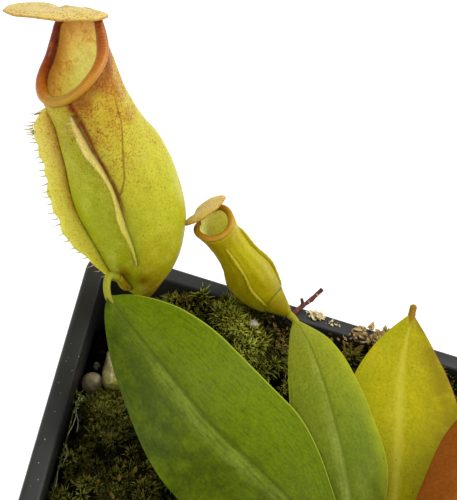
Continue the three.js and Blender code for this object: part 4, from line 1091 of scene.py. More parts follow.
def make_moss(name, settings, colours, brown=0.15, dead=None, spacing=1.0):
    """A cushion of moss: a broken mound darkened with painted shade, and shoots that stand on it, brown
    round the dead spot.
    """
    cushion = MOSS[name]
    rng = np.random.default_rng(SEED + len(name) + int(abs(cushion["x"])))
    shape = Shape()
    turns = once_round(96)
    rings = [cushion_point(cushion, turns, share)[0] for share in (0.3, 0.65, 1)]
    mound_drop, shoot_drop = (settings.shoot_height * share for share in (0.55, 0.8))
    for share in (1, 0.97, 0.93, 0.88, 0.82, 0.75, 0.67, 0.57, 0.46, 0.34, 0.22, 0.1):
        spots, crown = cushion_point(cushion, turns, share)
        crown = np.maximum(crown - mound_drop + 0.5 * lumps(spots, 2.4, 8), 0.4)
        rings.append(against_wall(spots + UP * crown[:, None]))
    # Painted shade: the mound's first tint, near 0, darkens it almost to black under and between the
    # shoots
    add_loft(shape, rings, tint=(0.05, 0.4, 0))
    area = math.pi * cushion["half_x"] * cushion["half_y"]
    count = int(area / (settings.shoot_spacing * spacing) ** 2)
    turn = rng.uniform(0, 2 * np.pi, count)
    share = np.sqrt(rng.uniform(0, 1, count)) * 0.99
    spots, crown = cushion_point(cushion, turn, share)
    kept = (lumps(spots, 2.6, 77) > -0.2) | (rng.uniform(0, 1, count) < 0.3)
    spots, crown, turn, share = spots[kept], crown[kept], turn[kept], share[kept]
    bold = rng.uniform(0.6, 1.3, len(spots)) * (1 + 0.4 * lumps(spots, 3.2, 9))
    glow = np.zeros(len(spots))
    for x, y, wide, deep, number, grown in EXTRA_MOSS.get(name, []):
        more = np.column_stack([x + rng.normal(0, wide, number), y + rng.normal(0, deep, number)])
        more = np.column_stack([more, mix_height(*more.T) + CLEARANCE])
        offset = [(more[:, k] - cushion[a]) / cushion["half_" + a] for k, a in enumerate("xy")]
        raised = cushion["height"] * np.sqrt(np.clip(1 - np.hypot(*offset) ** 2, 0, 1))
        spots, crown = np.concatenate([spots, more]), np.concatenate([crown, np.maximum(raised, 0.8)])
        turn, share = (np.concatenate([value, np.zeros(number)]) for value in (turn, share))
        bold = np.concatenate([bold, grown * rng.uniform(0.7, 1.2, number)])
        glow = np.concatenate([glow, np.full(number, grown - 0.8)])
    count = len(spots)
    size = settings.shoot_height * np.clip(bold, 0.35, 2)
    clumps = lumps(spots, 3.2, 9)
    heights = np.maximum(crown - shoot_drop + 0.5 * lumps(spots, 2.4, 8), 0.3)
    out = np.column_stack([np.cos(turn), np.sin(turn), np.zeros(count)]) * (share**3)[:, None]
    lean = unit(UP + 0.8 * out + rng.normal(0, 0.35, (count, 3)))
    patch = smooth_step(lumps(spots + 50, 6, 12), 0.15, 0.6) * brown * 3
    if dead:
        away = np.hypot(spots[:, 0] - dead[0], spots[:, 1] - dead[1])
        patch = np.maximum(patch, near(away, 0, dead[2]))
    tones = np.column_stack([
        np.clip(0.4 + 0.58 * clumps + rng.normal(0, 0.24, count) + glow, 0, 1),
        np.clip(patch + (rng.uniform(0, 1, count) < brown * 0.6) * rng.uniform(0.4, 1, count), 0, 1),
        np.zeros(count),
    ])
    axes = turned_axes(lean, rng.uniform(0, 2 * np.pi, count))
    kinds = 6
    lots = rng.integers(0, kinds, count)
    for kind in range(kinds):
        points, faces, tips = moss_shoot(rng)
        chosen = lots == kind
        place = marked(tips, 0.0, 0.0)[None]
        at = against_wall(spots[chosen] + UP * heights[chosen][:, None])
        stamp(shape, points, faces, at, axes[chosen], size[chosen], place, tones[chosen])
    material = living_moss("living_moss_" + name.replace("moss_", ""), *colours)
    shape.piece(name + "_shoots", "moss", material, [name])


# The plant


def make_stem():
    """The short upright stem, uneven with the scars of old leaves."""
    heights = np.linspace(STEM[0][0], STEM[-1][0], 60)
    turns = once_round(40)
    rings, places = [], []
    for height, radius in zip(heights, profile(STEM, heights)[0]):
        scars = 1 + 0.05 * np.sin(3 * turns + height * 0.9) + 0.02 * np.sin(9 * turns)
        ring = np.stack([radius * scars * np.cos(turns), radius * scars * np.sin(turns)], -1)
        rings.append(np.column_stack([ring * 0.96, np.full(len(turns), height)]))
        places.append(np.full((len(turns), 3), (height - 80) / 26))
    shape = add_loft(Shape(), rings, np.array(places))
    shape.piece("green_stem", "stem", green_stem(), ["stem"])


def leaf_rib(leaf):
    """The curve of a leaf's midrib."""
    return Curve([
        heading(leaf["azimuth"] + swing) * reach + UP * (POT_HEIGHT + height)
        for reach, height, swing in leaf["rib"]
    ])


def half_width(leaf, share):
    """Half a leaf's width at shares of its length."""
    grown = mixed(leaf["foot"], leaf["width"], smooth_step(share, 0, leaf["widest"])) / 2
    past = np.clip((share - leaf["widest"]) / (1 - leaf["widest"]), 0, 1)
    pointed = np.maximum(leaf["width"] / 2 * (1 - past * past) ** leaf["tip"], 0.6)
    return np.where(share < leaf["widest"], grown, pointed)


def make_leaf(name, settings):
    """A leaf's blade with its grooved midrib, and the tendril that its point runs out into."""
    leaf = LEAVES[name]
    rows, columns = 84, 41
    rib = leaf_rib(leaf)
    share = 1 - (1 - np.linspace(0, 1, rows)) ** 1.35
    v = np.linspace(-1, 1, columns)
    middle, forward = rib.at(share), rib.direction(share)
    level = unit(np.cross(UP, forward))
    upright = np.cross(forward, level)
    roll = math.radians(leaf["roll"])
    side = level * math.cos(roll) + upright * math.sin(roll)
    normal = np.cross(forward, side)
    folded = smooth_step(share, 0.45, 0.95)
    bend = np.tan(np.radians(mixed(-leaf["droop"], leaf["fold"], folded)))[:, None]
    left, right = leaf["sides"]
    reach = half_width(leaf, share)[:, None] * np.where(v > 0, left, right)
    phase = 16 * share[:, None] + 2 * v + leaf["azimuth"]
    lift = reach * v * v * (bend + leaf["wave"] * np.sin(phase))
    centre = middle[:, None] + side[:, None] * (reach * v)[..., None] + normal[:, None] * lift[..., None]
    ripple = 0.1 * lumps(centre, 5, 21) + 0.05 * lumps(centre, 2, 22)
    groove = -LEAF_GROOVE * np.exp(-((reach * v / 0.55) ** 2)) * (1 - share[:, None] ** 4)
    thickness = mixed(LEAF_THICK, LEAF_THIN, np.abs(v))
    keel = LEAF_KEEL * np.exp(-((reach * v / 0.5) ** 2)) * mixed(1, 0.25, share)[:, None]
    edge = (1 - np.abs(v) ** 6) ** 0.5
    upper = centre + normal[:, None] * (ripple + groove + thickness / 2 * edge)[..., None]
    lower = centre + normal[:, None] * (ripple - thickness / 2 * edge - keel)[..., None]
    shape = Shape()
    add_sheet(shape, upper, lower, *(marked(share[:, None], v, under) for under in (0.0, 1.0)))
    lead = rib.at(0.93)[0] - UP * 0.3
    tendril = Curve([lead, rib.at(1)[0], *leaf["tendril"]])
    way = np.linspace(0, 1, 16 + 8 * len(leaf["tendril"]))
    swell = 1
    if name not in ("leaf_1", "leaf_2"):  # these two end in a pitcher, the others in a round tip
        way = np.concatenate([way[:-1] * 0.97, 1 - 0.03 * np.array([1, 0.6, 0.3, 0.1, 0.0])])
        swell = np.sqrt(np.clip((1 - way) / 0.06, 0.04, 1)) * mixed(1.25, 0.95, way)
    rings = tube_rings(tendril.at(way), TENDRIL * (0.7 + 0.3 * way) * swell, 14)
    add_loft(shape, rings, (1, 0, 0), marked(smooth_step(way, 0.0, 0.5)[:, None], 0.0, 0.0))
    slot, tone = LEAF_FINISH[name]
    material = waxy_leaf("waxy_" + name, LEAF_TONES[tone], settings.leaf_roughness)
    shape.piece(name + "_blade", slot, material, [name])


class Pitcher:
    """A pitcher's frame and walls: share 0 is its base and 1 its mouth, and angle 0 is its front."""

    def __init__(self, name):
        self.size = PITCHERS[name]
        azimuth, elevation = self.size["azimuth"], self.size["elevation"]
        self.axis = heading(azimuth, elevation)
        up_side = -heading(azimuth, elevation - 90)
        across = np.cross(self.axis, up_side)
        turn = math.radians(self.size["turn"])
        self.front = up_side * math.cos(turn) + across * math.sin(turn)
        self.side = np.cross(self.axis, self.front)
        self.base = np.array(self.size["base"], float)

    def wall(self, share, angle, inset=0.0):
        """Points of the wall at shares of the length and angles, that far inside its outer face."""
        share, angle = np.broadcast_arrays(np.asarray(share, float), np.asarray(angle, float))
        radius, bow = profile(self.size["outline"], share)
        towards = np.cos(angle)
        slope = math.tan(math.radians(self.size["slant"]))
        slanted = smooth_step(share, 0.35, 1)
        raised = np.clip(-towards / NECK_HALF, 0, 1) ** 3
        narrowed = 1 - self.size["pinch"] * slanted * raised
        rise = slanted * (self.size["neck"] * raised - slope * radius * towards)
        moves = [
            (self.axis, share * self.size["length"] + rise),
            (self.front, (radius - inset) * towards - bow),
            (self.side, (radius - inset) * np.sin(angle) * narrowed),
        ]
        return self.base + sum(way * amount[..., None] for way, amount in moves)

    def outwards(self, angle):
        """The ways out from the axis at angles."""
        return self.front * np.cos(angle)[..., None] + self.side * np.sin(angle)[..., None]

    def rim_section(self, angle):
        """The middle of the rim's section, the way up from the mouth and the way out, at angles."""
        angle = np.asarray(angle, float)
        inset = self.size["wall"] / 2
        ahead, behind = (self.wall(1.0, angle + step, inset) for step in (0.01, -0.01))
        travel = unit(ahead - behind)
        normal = unit(np.cross(self.outwards(angle), travel))
        out = np.cross(travel, normal)
        lift = self.size["rim"]["height"] + CLEARANCE
        return self.wall(1.0, angle, inset) + normal * lift, normal, out


def near(values, centre, reach):
    """A soft bump from 0 to 1 round a centre."""
    return np.exp(-(((values - centre) / reach) ** 2))


def large_marks(share, degrees):
    """The large pitcher's tints: mottling, stains and veins, and the green front between the wings.

    Each line along the body is an angle from the front, in degrees, at shares of the length."""
    mottle = smooth_step(share, 0.45, 0.95) * (0.3 + 0.6 * smooth_step(degrees, 10, 50))
    mottle = np.maximum(mottle, 0.8 * smooth_step(-degrees, 40, 90) * smooth_step(share, 0.3, 0.8))
    vein_angle = np.interp(share, [0.5, 0.53, 0.59, 0.71, 0.79, 0.9], [34, 37, 48, 69, 86, 91])
    vein = near(degrees, vein_angle, 1.3) * smooth_step(share, 0.5, 0.54)
    vein = vein * (1 - smooth_step(share, 0.86, 0.93))
    seam_angle = np.interp(share, [0.4, 0.53, 0.68, 0.79, 0.98], [37, 37, 37, 34, 26])
    seam_width = np.interp(share, [0.45, 0.53, 0.62, 0.8, 0.98], [1.2, 2.2, 2.6, 2.8, 6])
    seam = near(degrees, seam_angle, seam_width) * smooth_step(share, 0.38, 0.5)
    root_angle = np.interp(share, [0.3, 0.5, 0.7, 0.95], [-26, -38, -42, -40])
    root = near(degrees, root_angle, 3.2) * smooth_step(share, 0.35, 0.5)
    stain = np.maximum.reduce([
        0.85 * vein,
        seam,
        0.95 * root,
        0.7 * near(degrees, 12, 9) * near(share, 0.17, 0.03),
        0.6 * near(degrees, 33, 10) * near(share, 0.11, 0.025),
        0.55 * smooth_step(share, 0.93, 0.99) * smooth_step(np.abs(degrees), 15, 40),
    ])
    green = smooth_step(degrees, -42, -24) * (1 - smooth_step(degrees, 20, 34)) * 0.8
    green = green * (1 - 0.5 * smooth_step(share, 0.85, 1))
    return marked(np.clip(mottle, 0, 1), np.clip(stain, 0, 1), green)


def small_marks(share, degrees):
    """The small pitcher's tints: a faint orange flush on one side, and a stronger painted shade in
    the same darker orange on the side away from the light.
    """
    flush = smooth_step(-degrees, 20, 60) * smooth_step(share, 0.1, 0.5)
    # Painted shade: the side away from the light darkens to the same orange, more strongly
    painted_shade = smooth_step(degrees, 55, 100) * smooth_step(share, 0.1, 0.5)
    return marked(0.25 * flush + 0.6 * painted_shade, 0.15 * flush, 0.0)


PITCHER_TONES = {
    "pitcher_large": {
        "outside": [
            (0.0, "#7c5408"), (0.12, "#a49a08"), (0.35, "#b2b21c"), (0.7, "#c2bc38"), (1.0, "#be9a2a"),
        ],
        "front": "#9aa400", "cloud": "#d2d048", "flush": "#c28c24",
        "wing": [(0.12, "#9a9a22"), (0.45, "#aea650"), (0.9, "#b6a268")], "mottle": "#8a3e10",
        "stain": "#741a06",
        "inside": [(0.0, "#ecdc68"), (0.84, "#fff2b4"), (0.93, "#f0d08c"), (1.0, "#c08c48")],
        "inside_blotch": "#bc702c", "reach": (3.4, 3.2, 1.0),
    },
    "pitcher_small": {
        "outside": [(0.0, "#807002"), (0.3, "#a89a02"), (0.75, "#b6ac04"), (1.0, "#b6a010")],
        # The small pitcher's flush tone also paints its shade on the side away from the light
        "front": "#d0c808", "cloud": "#c4ba1c", "flush": "#a47c08",
        "wing": [(0.12, "#a89c14"), (0.9, "#b4a41c")], "mottle": "#8f7008", "stain": "#8a5c04",
        "inside": [(0.0, "#fcfa70"), (1.0, "#fffc98")], "inside_blotch": "#f4ec68",
        "reach": (1.1, 1.0, 0.35),
    },
}
RIM_STOPS = {
    "pitcher_large": [
        (0.0, "#70200a"), (0.2, "#8a300a"), (0.36, "#b2640f"), (0.5, "#a08208"), (0.6, "#a47e08"),
        (0.75, "#b46f24"), (0.9, "#9c4e1c"), (1.0, "#70200a"),
    ],
    "pitcher_small": [
        (0.0, "#8f6410"), (0.3, "#9c7410"), (0.5, "#a8861a"), (0.8, "#a07a10"), (1.0, "#8f6410"),
    ],
}
RIM_EDGES = {"pitcher_large": "#701c08", "pitcher_small": "#7a4c0c"}
LID_TONES = {
    "pitcher_large": ("#c9b260", "#c0a854", "#6e4412", "#9c6c2a"),
    "pitcher_small": ("#c9ac48", "#b8962c", "#94641c", "#9c6020"),
}


def add_wing(shape, spines, pitcher, wing):
    """A thin flap along the body, with a fringe of soft curved spines on its edge and, on the large
    pitcher, finer hairs near its head."""
    rng = np.random.default_rng(SEED + abs(wing["foot"]))
    large = wing["height"] > 1

    def place_at(way):
        """The flap's root, the ways out and across it, and its height, at shares of its way."""
        turned = mixed(wing["foot"], wing["head"], smooth_step(way, *wing["turn"]))
        angle = np.radians(turned)
        root = pitcher.wall(mixed(*wing["span"], way), angle)
        out = pitcher.outwards(angle)
        thick = unit(np.cross(pitcher.axis, out))
        edge = wing["height"] * np.minimum(np.minimum(1, 0.1 + 3 * way), 0.15 + 12 * (1 - way))
        return root, out, thick, edge

    way = np.linspace(0, 1, 110)
    root, out, thick, edge = place_at(way)
    edge = edge * (1 + 0.05 * np.sin(60 * way) + 0.04 * np.sin(23 * way + 2))
    sweep = 0.16 * np.sin(13 * way + 1) * edge
    levels = np.array([0, 0.25, 0.5, 0.75, 1.0])
    start = -pitcher.size["wall"] / 2
    half_root, half_edge = 0.34, 0.12  # of the flap's thickness
    faces = []
    for sign in (-1, 1):
        reach = mixed(start, edge[:, None], levels)
        half = mixed(half_root, half_edge, levels) * sign
        bend = sweep[:, None] * levels**2 + half
        faces.append(root[:, None] + out[:, None] * reach[..., None] + thick[:, None] * bend[..., None])
    rings = np.concatenate([faces[0], faces[1][:, ::-1]], axis=1)
    tone = np.concatenate([levels, levels[::-1]])
    share = mixed(*wing["span"], way)[:, None]
    red = large * 0.9 * (1 - smooth_step(tone, 0.08, 0.42)) * smooth_step(share, 0.3, 0.5)
    add_loft(shape, rings, marked(share, smooth_step(tone, 0, 0.4), 0.0), marked(0.3 * share, red, 0.0))
    count = wing["spines"]
    places_along = [(k + 0.5 + 0.2 * rng.uniform(-1, 1)) / count for k in range(count)]
    places_along += list(rng.uniform(0.88, 1, count // 2)) if large else []
    sunk = 0.15  # in the flap's edge
    steps = np.linspace(0, 1, 7)[:, None]
    for k, along in enumerate(places_along):
        foot, away, aside, height = (value[0] for value in place_at(np.array([along])))
        foot = foot + away * (height - sunk) + aside * np.interp(along, way, sweep)
        length = wing["spine"] * rng.uniform(0.75, 1.25)
        sideways = aside * length * rng.uniform(-0.35, 0.35)
        sideways = sideways + pitcher.axis * length * rng.uniform(-0.1, 0.5)
        path = foot + away * (sunk + length) * steps + sideways * steps**2
        radius = 0.13 if large else 0.06
        if k >= count:  # a hair
            radius = 0.08
            path = path + (aside * rng.uniform(-1.2, 1.2) + away * 0.5) * steps**1.5
        sides = 6
        rings = tube_rings(path, radius * (1 - 0.85 * steps[:, 0]), sides)
        add_loft(spines, rings, marked(steps, np.zeros(sides), 0.0))


def make_cup(name):
    """A pitcher's body with its outer and inner wall, its curved inlet and its wings."""
    pitcher = Pitcher(name)
    size = pitcher.size
    marks = large_marks if name == "pitcher_large" else small_marks
    sides = 180
    angle = once_round(sides)
    degrees = (np.degrees(angle) + 180) % 360 - 180
    outer = np.linspace(0, 1, 150)
    inner = np.linspace(1, size["floor"], 90)
    rings, places, tints = [], [], []
    lip_way = pitcher.rim_section(angle)[1] * (size["rim"]["height"] * 0.8 + CLEARANCE)
    walls = [*((s, 0.0, 0.0) for s in outer), *((s, size["wall"], 1.0) for s in inner)]
    walls.insert(len(outer), (1.0, size["wall"] * 0.3, 0.0))
    walls.insert(len(outer) + 1, (1.0, size["wall"] * 0.7, 1.0))
    for share, inset, inside in walls:
        ring = pitcher.wall(share, angle, inset)
        if 0 < inset < size["wall"]:
            ring = ring + lip_way
        out = pitcher.outwards(angle)
        relief = 0.07 * lumps(ring, 3.5, 31) + 0.03 * lumps(ring, 1.2, 32) - 0.1
        ribs = 0.035 * np.cos(14 * angle) * smooth_step(share, 0.15, 0.4)
        rings.append(ring + out * ((relief + ribs) * min(1, 12 * (1 - share)) * (1 - inside))[:, None])
        places.append(marked(share, 0.0 * angle, inside))
        tints.append(marks(np.full(sides, share), degrees) * (1 - inside))
    rings.append(pitcher.wall(size["floor"], angle, size["wall"] * 2.4))
    places.append(places[-1])
    tints.append(tints[-1])
    shape = add_loft(Shape(), rings, np.array(places), np.array(tints))
    radius, bow = profile(size["outline"], np.array([size["inlet_share"]]))
    inside = pitcher.base + pitcher.axis * size["length"] * size["inlet_share"] - pitcher.front * bow[0]
    horn = Curve([size["inlet"], size["inlet_bend"], inside])
    way = np.linspace(0, 1, 28)
    swell = mixed(TENDRIL * 0.95, radius[0] * size["inlet_swell"], way ** size["inlet_power"])
    place = marked(mixed(0.06, size["inlet_share"] - 0.03, way)[:, None], 0.0, 0.0)
    tint = marked(0.0, size["inlet_stain"] * smooth_step(way, 0.1, 0.6)[:, None], 0.0)
    add_loft(shape, tube_rings(horn.at(way), swell, 24), place, tint)
    spines = Shape()
    for wing in size["wings"]:
        add_wing(shape, spines, pitcher, wing)
    skin = pitcher_skin(name + "_taut_skin", PITCHER_TONES[name])
    shape.piece(name + "_body", "pitcher_body", skin, [name + "_cup"])
    spines.piece(name + "_fringe", "pitcher_body", soft_spine())


def make_rim(name):
    """The rounded rim with its fine ribs, slimmer where it meets the lid."""
    pitcher = Pitcher(name)
    rim = pitcher.size["rim"]
    steps, sides = rim["ribs"] * 4, 20
    angle, turns = once_round(steps), once_round(sides)
    middle, normal, out = pitcher.rim_section(angle)
    wave = np.cos(angle * rim["ribs"])
    slim = (1 - 0.4 * smooth_step(-np.cos(angle), 0.5, 0.95))[:, None]
    swell = 1 + 0.014 * wave
    lift = np.cos(turns) * rim["height"]
    lift = np.where(lift > 0, lift * swell[:, None], lift) * slim
    width = np.sin(turns) * rim["width"] * swell[:, None] * slim
    rings = middle[:, None] + normal[:, None] * lift[..., None] + out[:, None] * width[..., None]
    turned = ((np.degrees(angle) + 180) % 360) / 360
    place = marked(turned[:, None], (wave * 0.5 + 0.5)[:, None], 0.5 + 0.5 * np.sin(turns))
    shape = Shape().add(rings, [grid_faces(steps, sides, True, True)], place)
    material = glossy_rim(name + "_glossy_rim", RIM_STOPS[name], RIM_EDGES[name])
    shape.piece(name + "_lip", "pitcher_rim", material, [name + "_rim"])


def make_lid(name):
    """The lid, domed and folded along its middle, and the neck that carries it."""
    pitcher = Pitcher(name)
    lid = pitcher.size["lid"]
    normal = heading(lid["azimuth"], lid["elevation"])
    ahead = unit(pitcher.front - normal * (pitcher.front @ normal))
    aside = np.cross(normal, ahead)
    swing = math.radians(lid["swing"])
    reach = ahead * math.cos(swing) + aside * math.sin(swing)
    across = np.cross(normal, reach)
    middle = np.array(lid["middle"])
    turn = once_round(144)
    notch = 1 - lid["notch"] * np.exp(-(((turn - np.pi) / 0.4) ** 2))
    ovate = 1 - 0.12 * np.cos(turn)
    scallop = 1 + 0.008 * np.sin(11 * turn) + 0.006 * np.sin(19 * turn + 2)
    u, v = notch * scallop * np.cos(turn), ovate * scallop * np.sin(turn)

    def ring(share, offset):
        """A ring of the lid at a share of the way out, that far over the lid's middle layer."""
        wavy = lid["ruffle"] * share**4 * (np.sin(3 * turn + 1.2) + 0.6 * np.sin(7 * turn + 0.4))
        crease = lid["fold"] * np.exp(-((v * share / lid["fold_width"]) ** 2)) * (0.5 - 0.5 * u * share)
        lift = offset - lid["dome"] * share**2 + wavy - crease + lid["lean"] * v * share
        spots = reach * (lid["length"] / 2 * share * u)[:, None]
        spots = spots + across * (lid["width"] / 2 * share * v)[:, None]
        return middle + spots + normal * lift[:, None]

    half = lid["thickness"] / 2
    shares = np.array([0.04, 0.12, 0.2, 0.3, 0.4, 0.5, 0.6, 0.7, 0.79, 0.87, 0.93, 0.97, 1.0])
    thin = half * np.sqrt(1 - 0.85 * shares**6)
    under = [ring(share, -rise) for share, rise in zip(shares, thin)]
    over = [ring(share, rise) for share, rise in zip(shares[::-1], thin[::-1])]
    places = [[share, 0, 1] for share in shares] + [[share, 0, 0] for share in shares[::-1]]
    place = np.broadcast_to(np.array(places, float)[:, None], (len(places), len(turn), 3))
    shape = add_loft(Shape(), under + over, place)
    back, back_normal, _ = (value[0] for value in pitcher.rim_section(np.array([np.pi])))
    seat = back + back_normal * pitcher.size["rim"]["height"] * 0.5
    head = middle - reach * lid["length"] * 0.12 - normal * (half + lid["fold"])
    turns = once_round(28)
    neck = []
    for share in np.linspace(0, 1, 10):
        breadth = pitcher.size["neck_width"] * (1 + 0.15 * share**2)
        along = reach * ((half + 0.2) * (1 + share) * np.cos(turns))[:, None]
        neck.append(mixed(seat, head, share) + along + across * (breadth * np.sin(turns))[:, None])
    add_loft(shape, neck, (0.3, 0, 1))
    material = speckled_lid(name + "_speckled_lid", *LID_TONES[name])
    shape.piece(name + "_hood", "pitcher_lid", material, [name + "_lid"])


# Loose bits


def make_twig():
    """The thin twig with the stub of a side shoot."""
    shape = Shape()
    way = np.linspace(0, 1, 40)
    main = Curve(TWIG["path"]).at(way)
    knots = 1 - 0.25 * way + 0.1 * np.sin(31 * way) * np.sin(11 * way)
    rings = tube_rings(main, TWIG["radius"] * knots, 14)
    rings = rings + 0.07 * lumps(rings, 0.7, 41)[..., None] * unit(rings - main[:, None])
    add_loft(shape, rings)
    stub = Curve(TWIG["stub"]).at(np.linspace(0, 1, 10))
    add_loft(shape, tube_rings(stub, np.linspace(TWIG["radius"] * 0.8, TWIG["radius"] * 0.5, 10), 10))
    shape.piece("red_brown_twig", "twig", dry_twig(), ["twig"])


def make_bits():
    """The bead of plant food, the pale chip and the pebble."""
    ball, faces = lump_mesh(3)
    radius = PRILL["diameter"] / 2
    rest = mix_height(PRILL["x"] + PRILL["diameter"] / 3, PRILL["y"]) + radius + CLEARANCE
    bead = ball * radius * (1 + 0.02 * lumps(ball, 0.8, 51))[:, None]
    bead += np.array([PRILL["x"], PRILL["y"], float(rest)])
    Shape().add(bead, [faces]).piece("beige_bead", "prill", resin_bead(), ["fertiliser_prill"])

    rings, places = [], []
    turn = once_round(48)
    for share in np.linspace(0, 1, 36):
        x, y = (mixed(CHIP["from"][k], CHIP["to"][k], share) for k in range(2))
        radius = mixed(CHIP["thin"], CHIP["thick"], math.sin(share * 2.2) * 0.9)
        height = float(mix_height(x, y)) + CHIP["lift"] + radius
        knobs = 1 + 0.1 * np.sin(3 * turn + 6 * share)
        ring = np.column_stack([
            x + radius * 1.1 * knobs * np.cos(turn),
            np.full(len(turn), y),
            height + radius * np.minimum(knobs, 1) * np.sin(turn),
        ])
        fibres = 0.1 * lumps(ring * [1, 0.25, 1], 0.5, 52) + 0.12 * lumps(ring, 1.4, 53)
        away = unit(ring - [x, y, height])
        rings.append(ring + away * fibres[:, None])
        places.append(np.full((len(turn), 3), share))
    chip = add_loft(Shape(), rings, np.array(places))
    chip.piece("cream_chip", "chip", bark_chip(), ["pale_chip"])

    stone = ball * (PEBBLE["diameter"] / 2) * [1, 0.85, 0.8]
    stone = stone * (1 + 0.12 * lumps(ball, 0.9, 54) + 0.05 * lumps(ball, 0.35, 55))[:, None]
    shape = Shape().add(stone + np.array(PEBBLE["place"]), [faces])
    grit = rough_grit("matt_pale_grit", "#857b66", "#c9c3b4")
    shape.piece("grit_stone", "pebble", grit, ["pale_pebble"])


# Each loose grain: its place along X and Y, and its radius.
GRITS = [
    ([-43.4, 36.2], 0.62), ([-42.8, 27.1], 0.5), ([-43.9, 24.2], 0.6), ([-36.5, 40.5], 0.5),
    ([-30.4, 30.5], 0.45), ([-14.8, 40.2], 0.55), ([20.5, 40.5], 0.7), ([40.5, 30.5], 0.8),
    ([18.0, -44.0], 0.7), ([-40.0, -38.0], 0.75), ([14.0, -12.0], 0.6),
]


def make_loose_grit():
    """Small pale grains that lie on the growing mix."""
    rng = np.random.default_rng(SEED + 7)
    ball, faces = lump_mesh(2)
    ball = ball * (1 + 0.4 * lumps(ball, 0.8, 61))[:, None] * [1.1, 0.8, 0.9]
    shape = Shape()
    spots = np.array([[x, y, float(mix_height(x, y)) + r * 0.7] for (x, y), r in GRITS])
    axes = turned_axes(rng.normal(0, 1, (len(spots), 3)), rng.uniform(0, 6, len(spots)))
    stamp(shape, ball, faces, spots, axes, np.array([r for _, r in GRITS]))
    grit = rough_grit("loose_grit_stone", "#5d584c", "#a5a192")
    shape.piece("loose_grit", "pebble", grit, smooth=False)


def scatter_flakes(rng, shape, groups):
    """Thin curled scales round the middle of each group: its place, count, spread and size."""
    across, along = np.meshgrid([-0.5, 0.0, 0.5], [-1.0, -0.4, 0.4, 1.0])
    flat = np.stack([along.ravel(), (across * (1.1 - along**2)).ravel()], 1)
    for (x, y, z), count, spread, size in groups:
        for spot in np.array([x, y, z]) + rng.normal(0, 1, (count, 3)) * spread:
            curl, twist = rng.uniform(-0.6, 0.6, 2)
            rise = curl * flat[:, 0] ** 2 + twist * flat[:, 0] * flat[:, 1] + 0.5 * flat[:, 1] ** 2
            top = np.column_stack([flat, rise + 0.05])
            scale = size * rng.uniform(0.45, 1.2)
            axes = turned_axes(unit(UP + rng.normal(0, 0.5, 3))[None], rng.uniform(0, 6, 1))[0]
            upper = (spot + (top * scale) @ axes).reshape(4, 3, 3)
            lower = (spot + ((top - [0, 0, 0.14]) * scale) @ axes).reshape(4, 3, 3)
            add_sheet(shape, upper, lower, np.zeros(upper.shape), np.zeros(lower.shape))
    return shape


def make_flakes():
    """Cream flakes of dry moss and dust on the back of the rim, and brown bits of leaf in the moss."""
    rng = np.random.default_rng(SEED + 8)
    top = POT_HEIGHT + 0.2
    cream = [
        ([-11.6, 48.9, top + 0.15], 30, [0.75, 0.35, 0.15], 0.5),
        ([-10.9, 48.7, top], 16, [1.5, 0.5, 0.04], 0.25),
        ([-8.2, 48.5, top], 7, [0.5, 0.3, 0.04], 0.3),
        ([-48.2, 28.5, top - 0.14], 7, [0.6, 3.5, 0.01], 0.11),
        ([-48.6, 12.5, top - 0.14], 6, [0.5, 5.5, 0.01], 0.1),
    ]
    shape = scatter_flakes(rng, Shape(), cream)
    shape.piece("dry_flakes", "moss", rough_grit("dry_cream_moss", "#b8a670", "#f0e2b4"), smooth=False)
    brown = [
        ([-16.8, 44.0, 88.8], 90, [1.9, 1.6, 0.6], 0.55),
        ([-21.5, 45.0, 89.4], 14, [1.5, 0.9, 0.4], 0.5),
        ([-31.0, 44.5, 89.3], 30, [2.4, 0.9, 0.4], 0.6),
        ([-2.0, 45.0, 89.4], 40, [3.0, 1.2, 0.4], 0.6),
        ([-36.0, 9.0, 86.3], 60, [4.0, 5.5, 0.4], 0.55),
        ([-6.0, -32.0, 86.7], 60, [13.0, 6.0, 0.4], 0.7),
        ([33.0, 6.0, 86.5], 60, [5.0, 11.0, 0.4], 0.7),
    ]
    shape = scatter_flakes(rng, Shape(), brown)
    dead = rough_grit("dead_brown_leaf", "#2a2006", "#80681e")
    shape.piece("dead_leaf_bits", "moss", dead, smooth=False)


# The sprig's way up the wall
SPRIG = [[-45.3, 10, 81], [-45.3, 16.5, 82.2], [-45.4, 20.5, 83.2], [-45.5, 23, 83.6], [-45, 25.4, 84.3]]
# The two ends of each thread of moss
THREADS = [
    ([-45.2, 23.2, 83.6], [-45.4, 18.6, 83.4]),
    ([-45.0, 22.4, 83.6], [-44.2, 19.6, 83.4]),
    ([-45.2, 17.2, 82.6], [-44.9, 14.2, 82.4]),
    ([-45.3, 13.0, 82.0], [-45.1, 8.5, 81.6]),
]


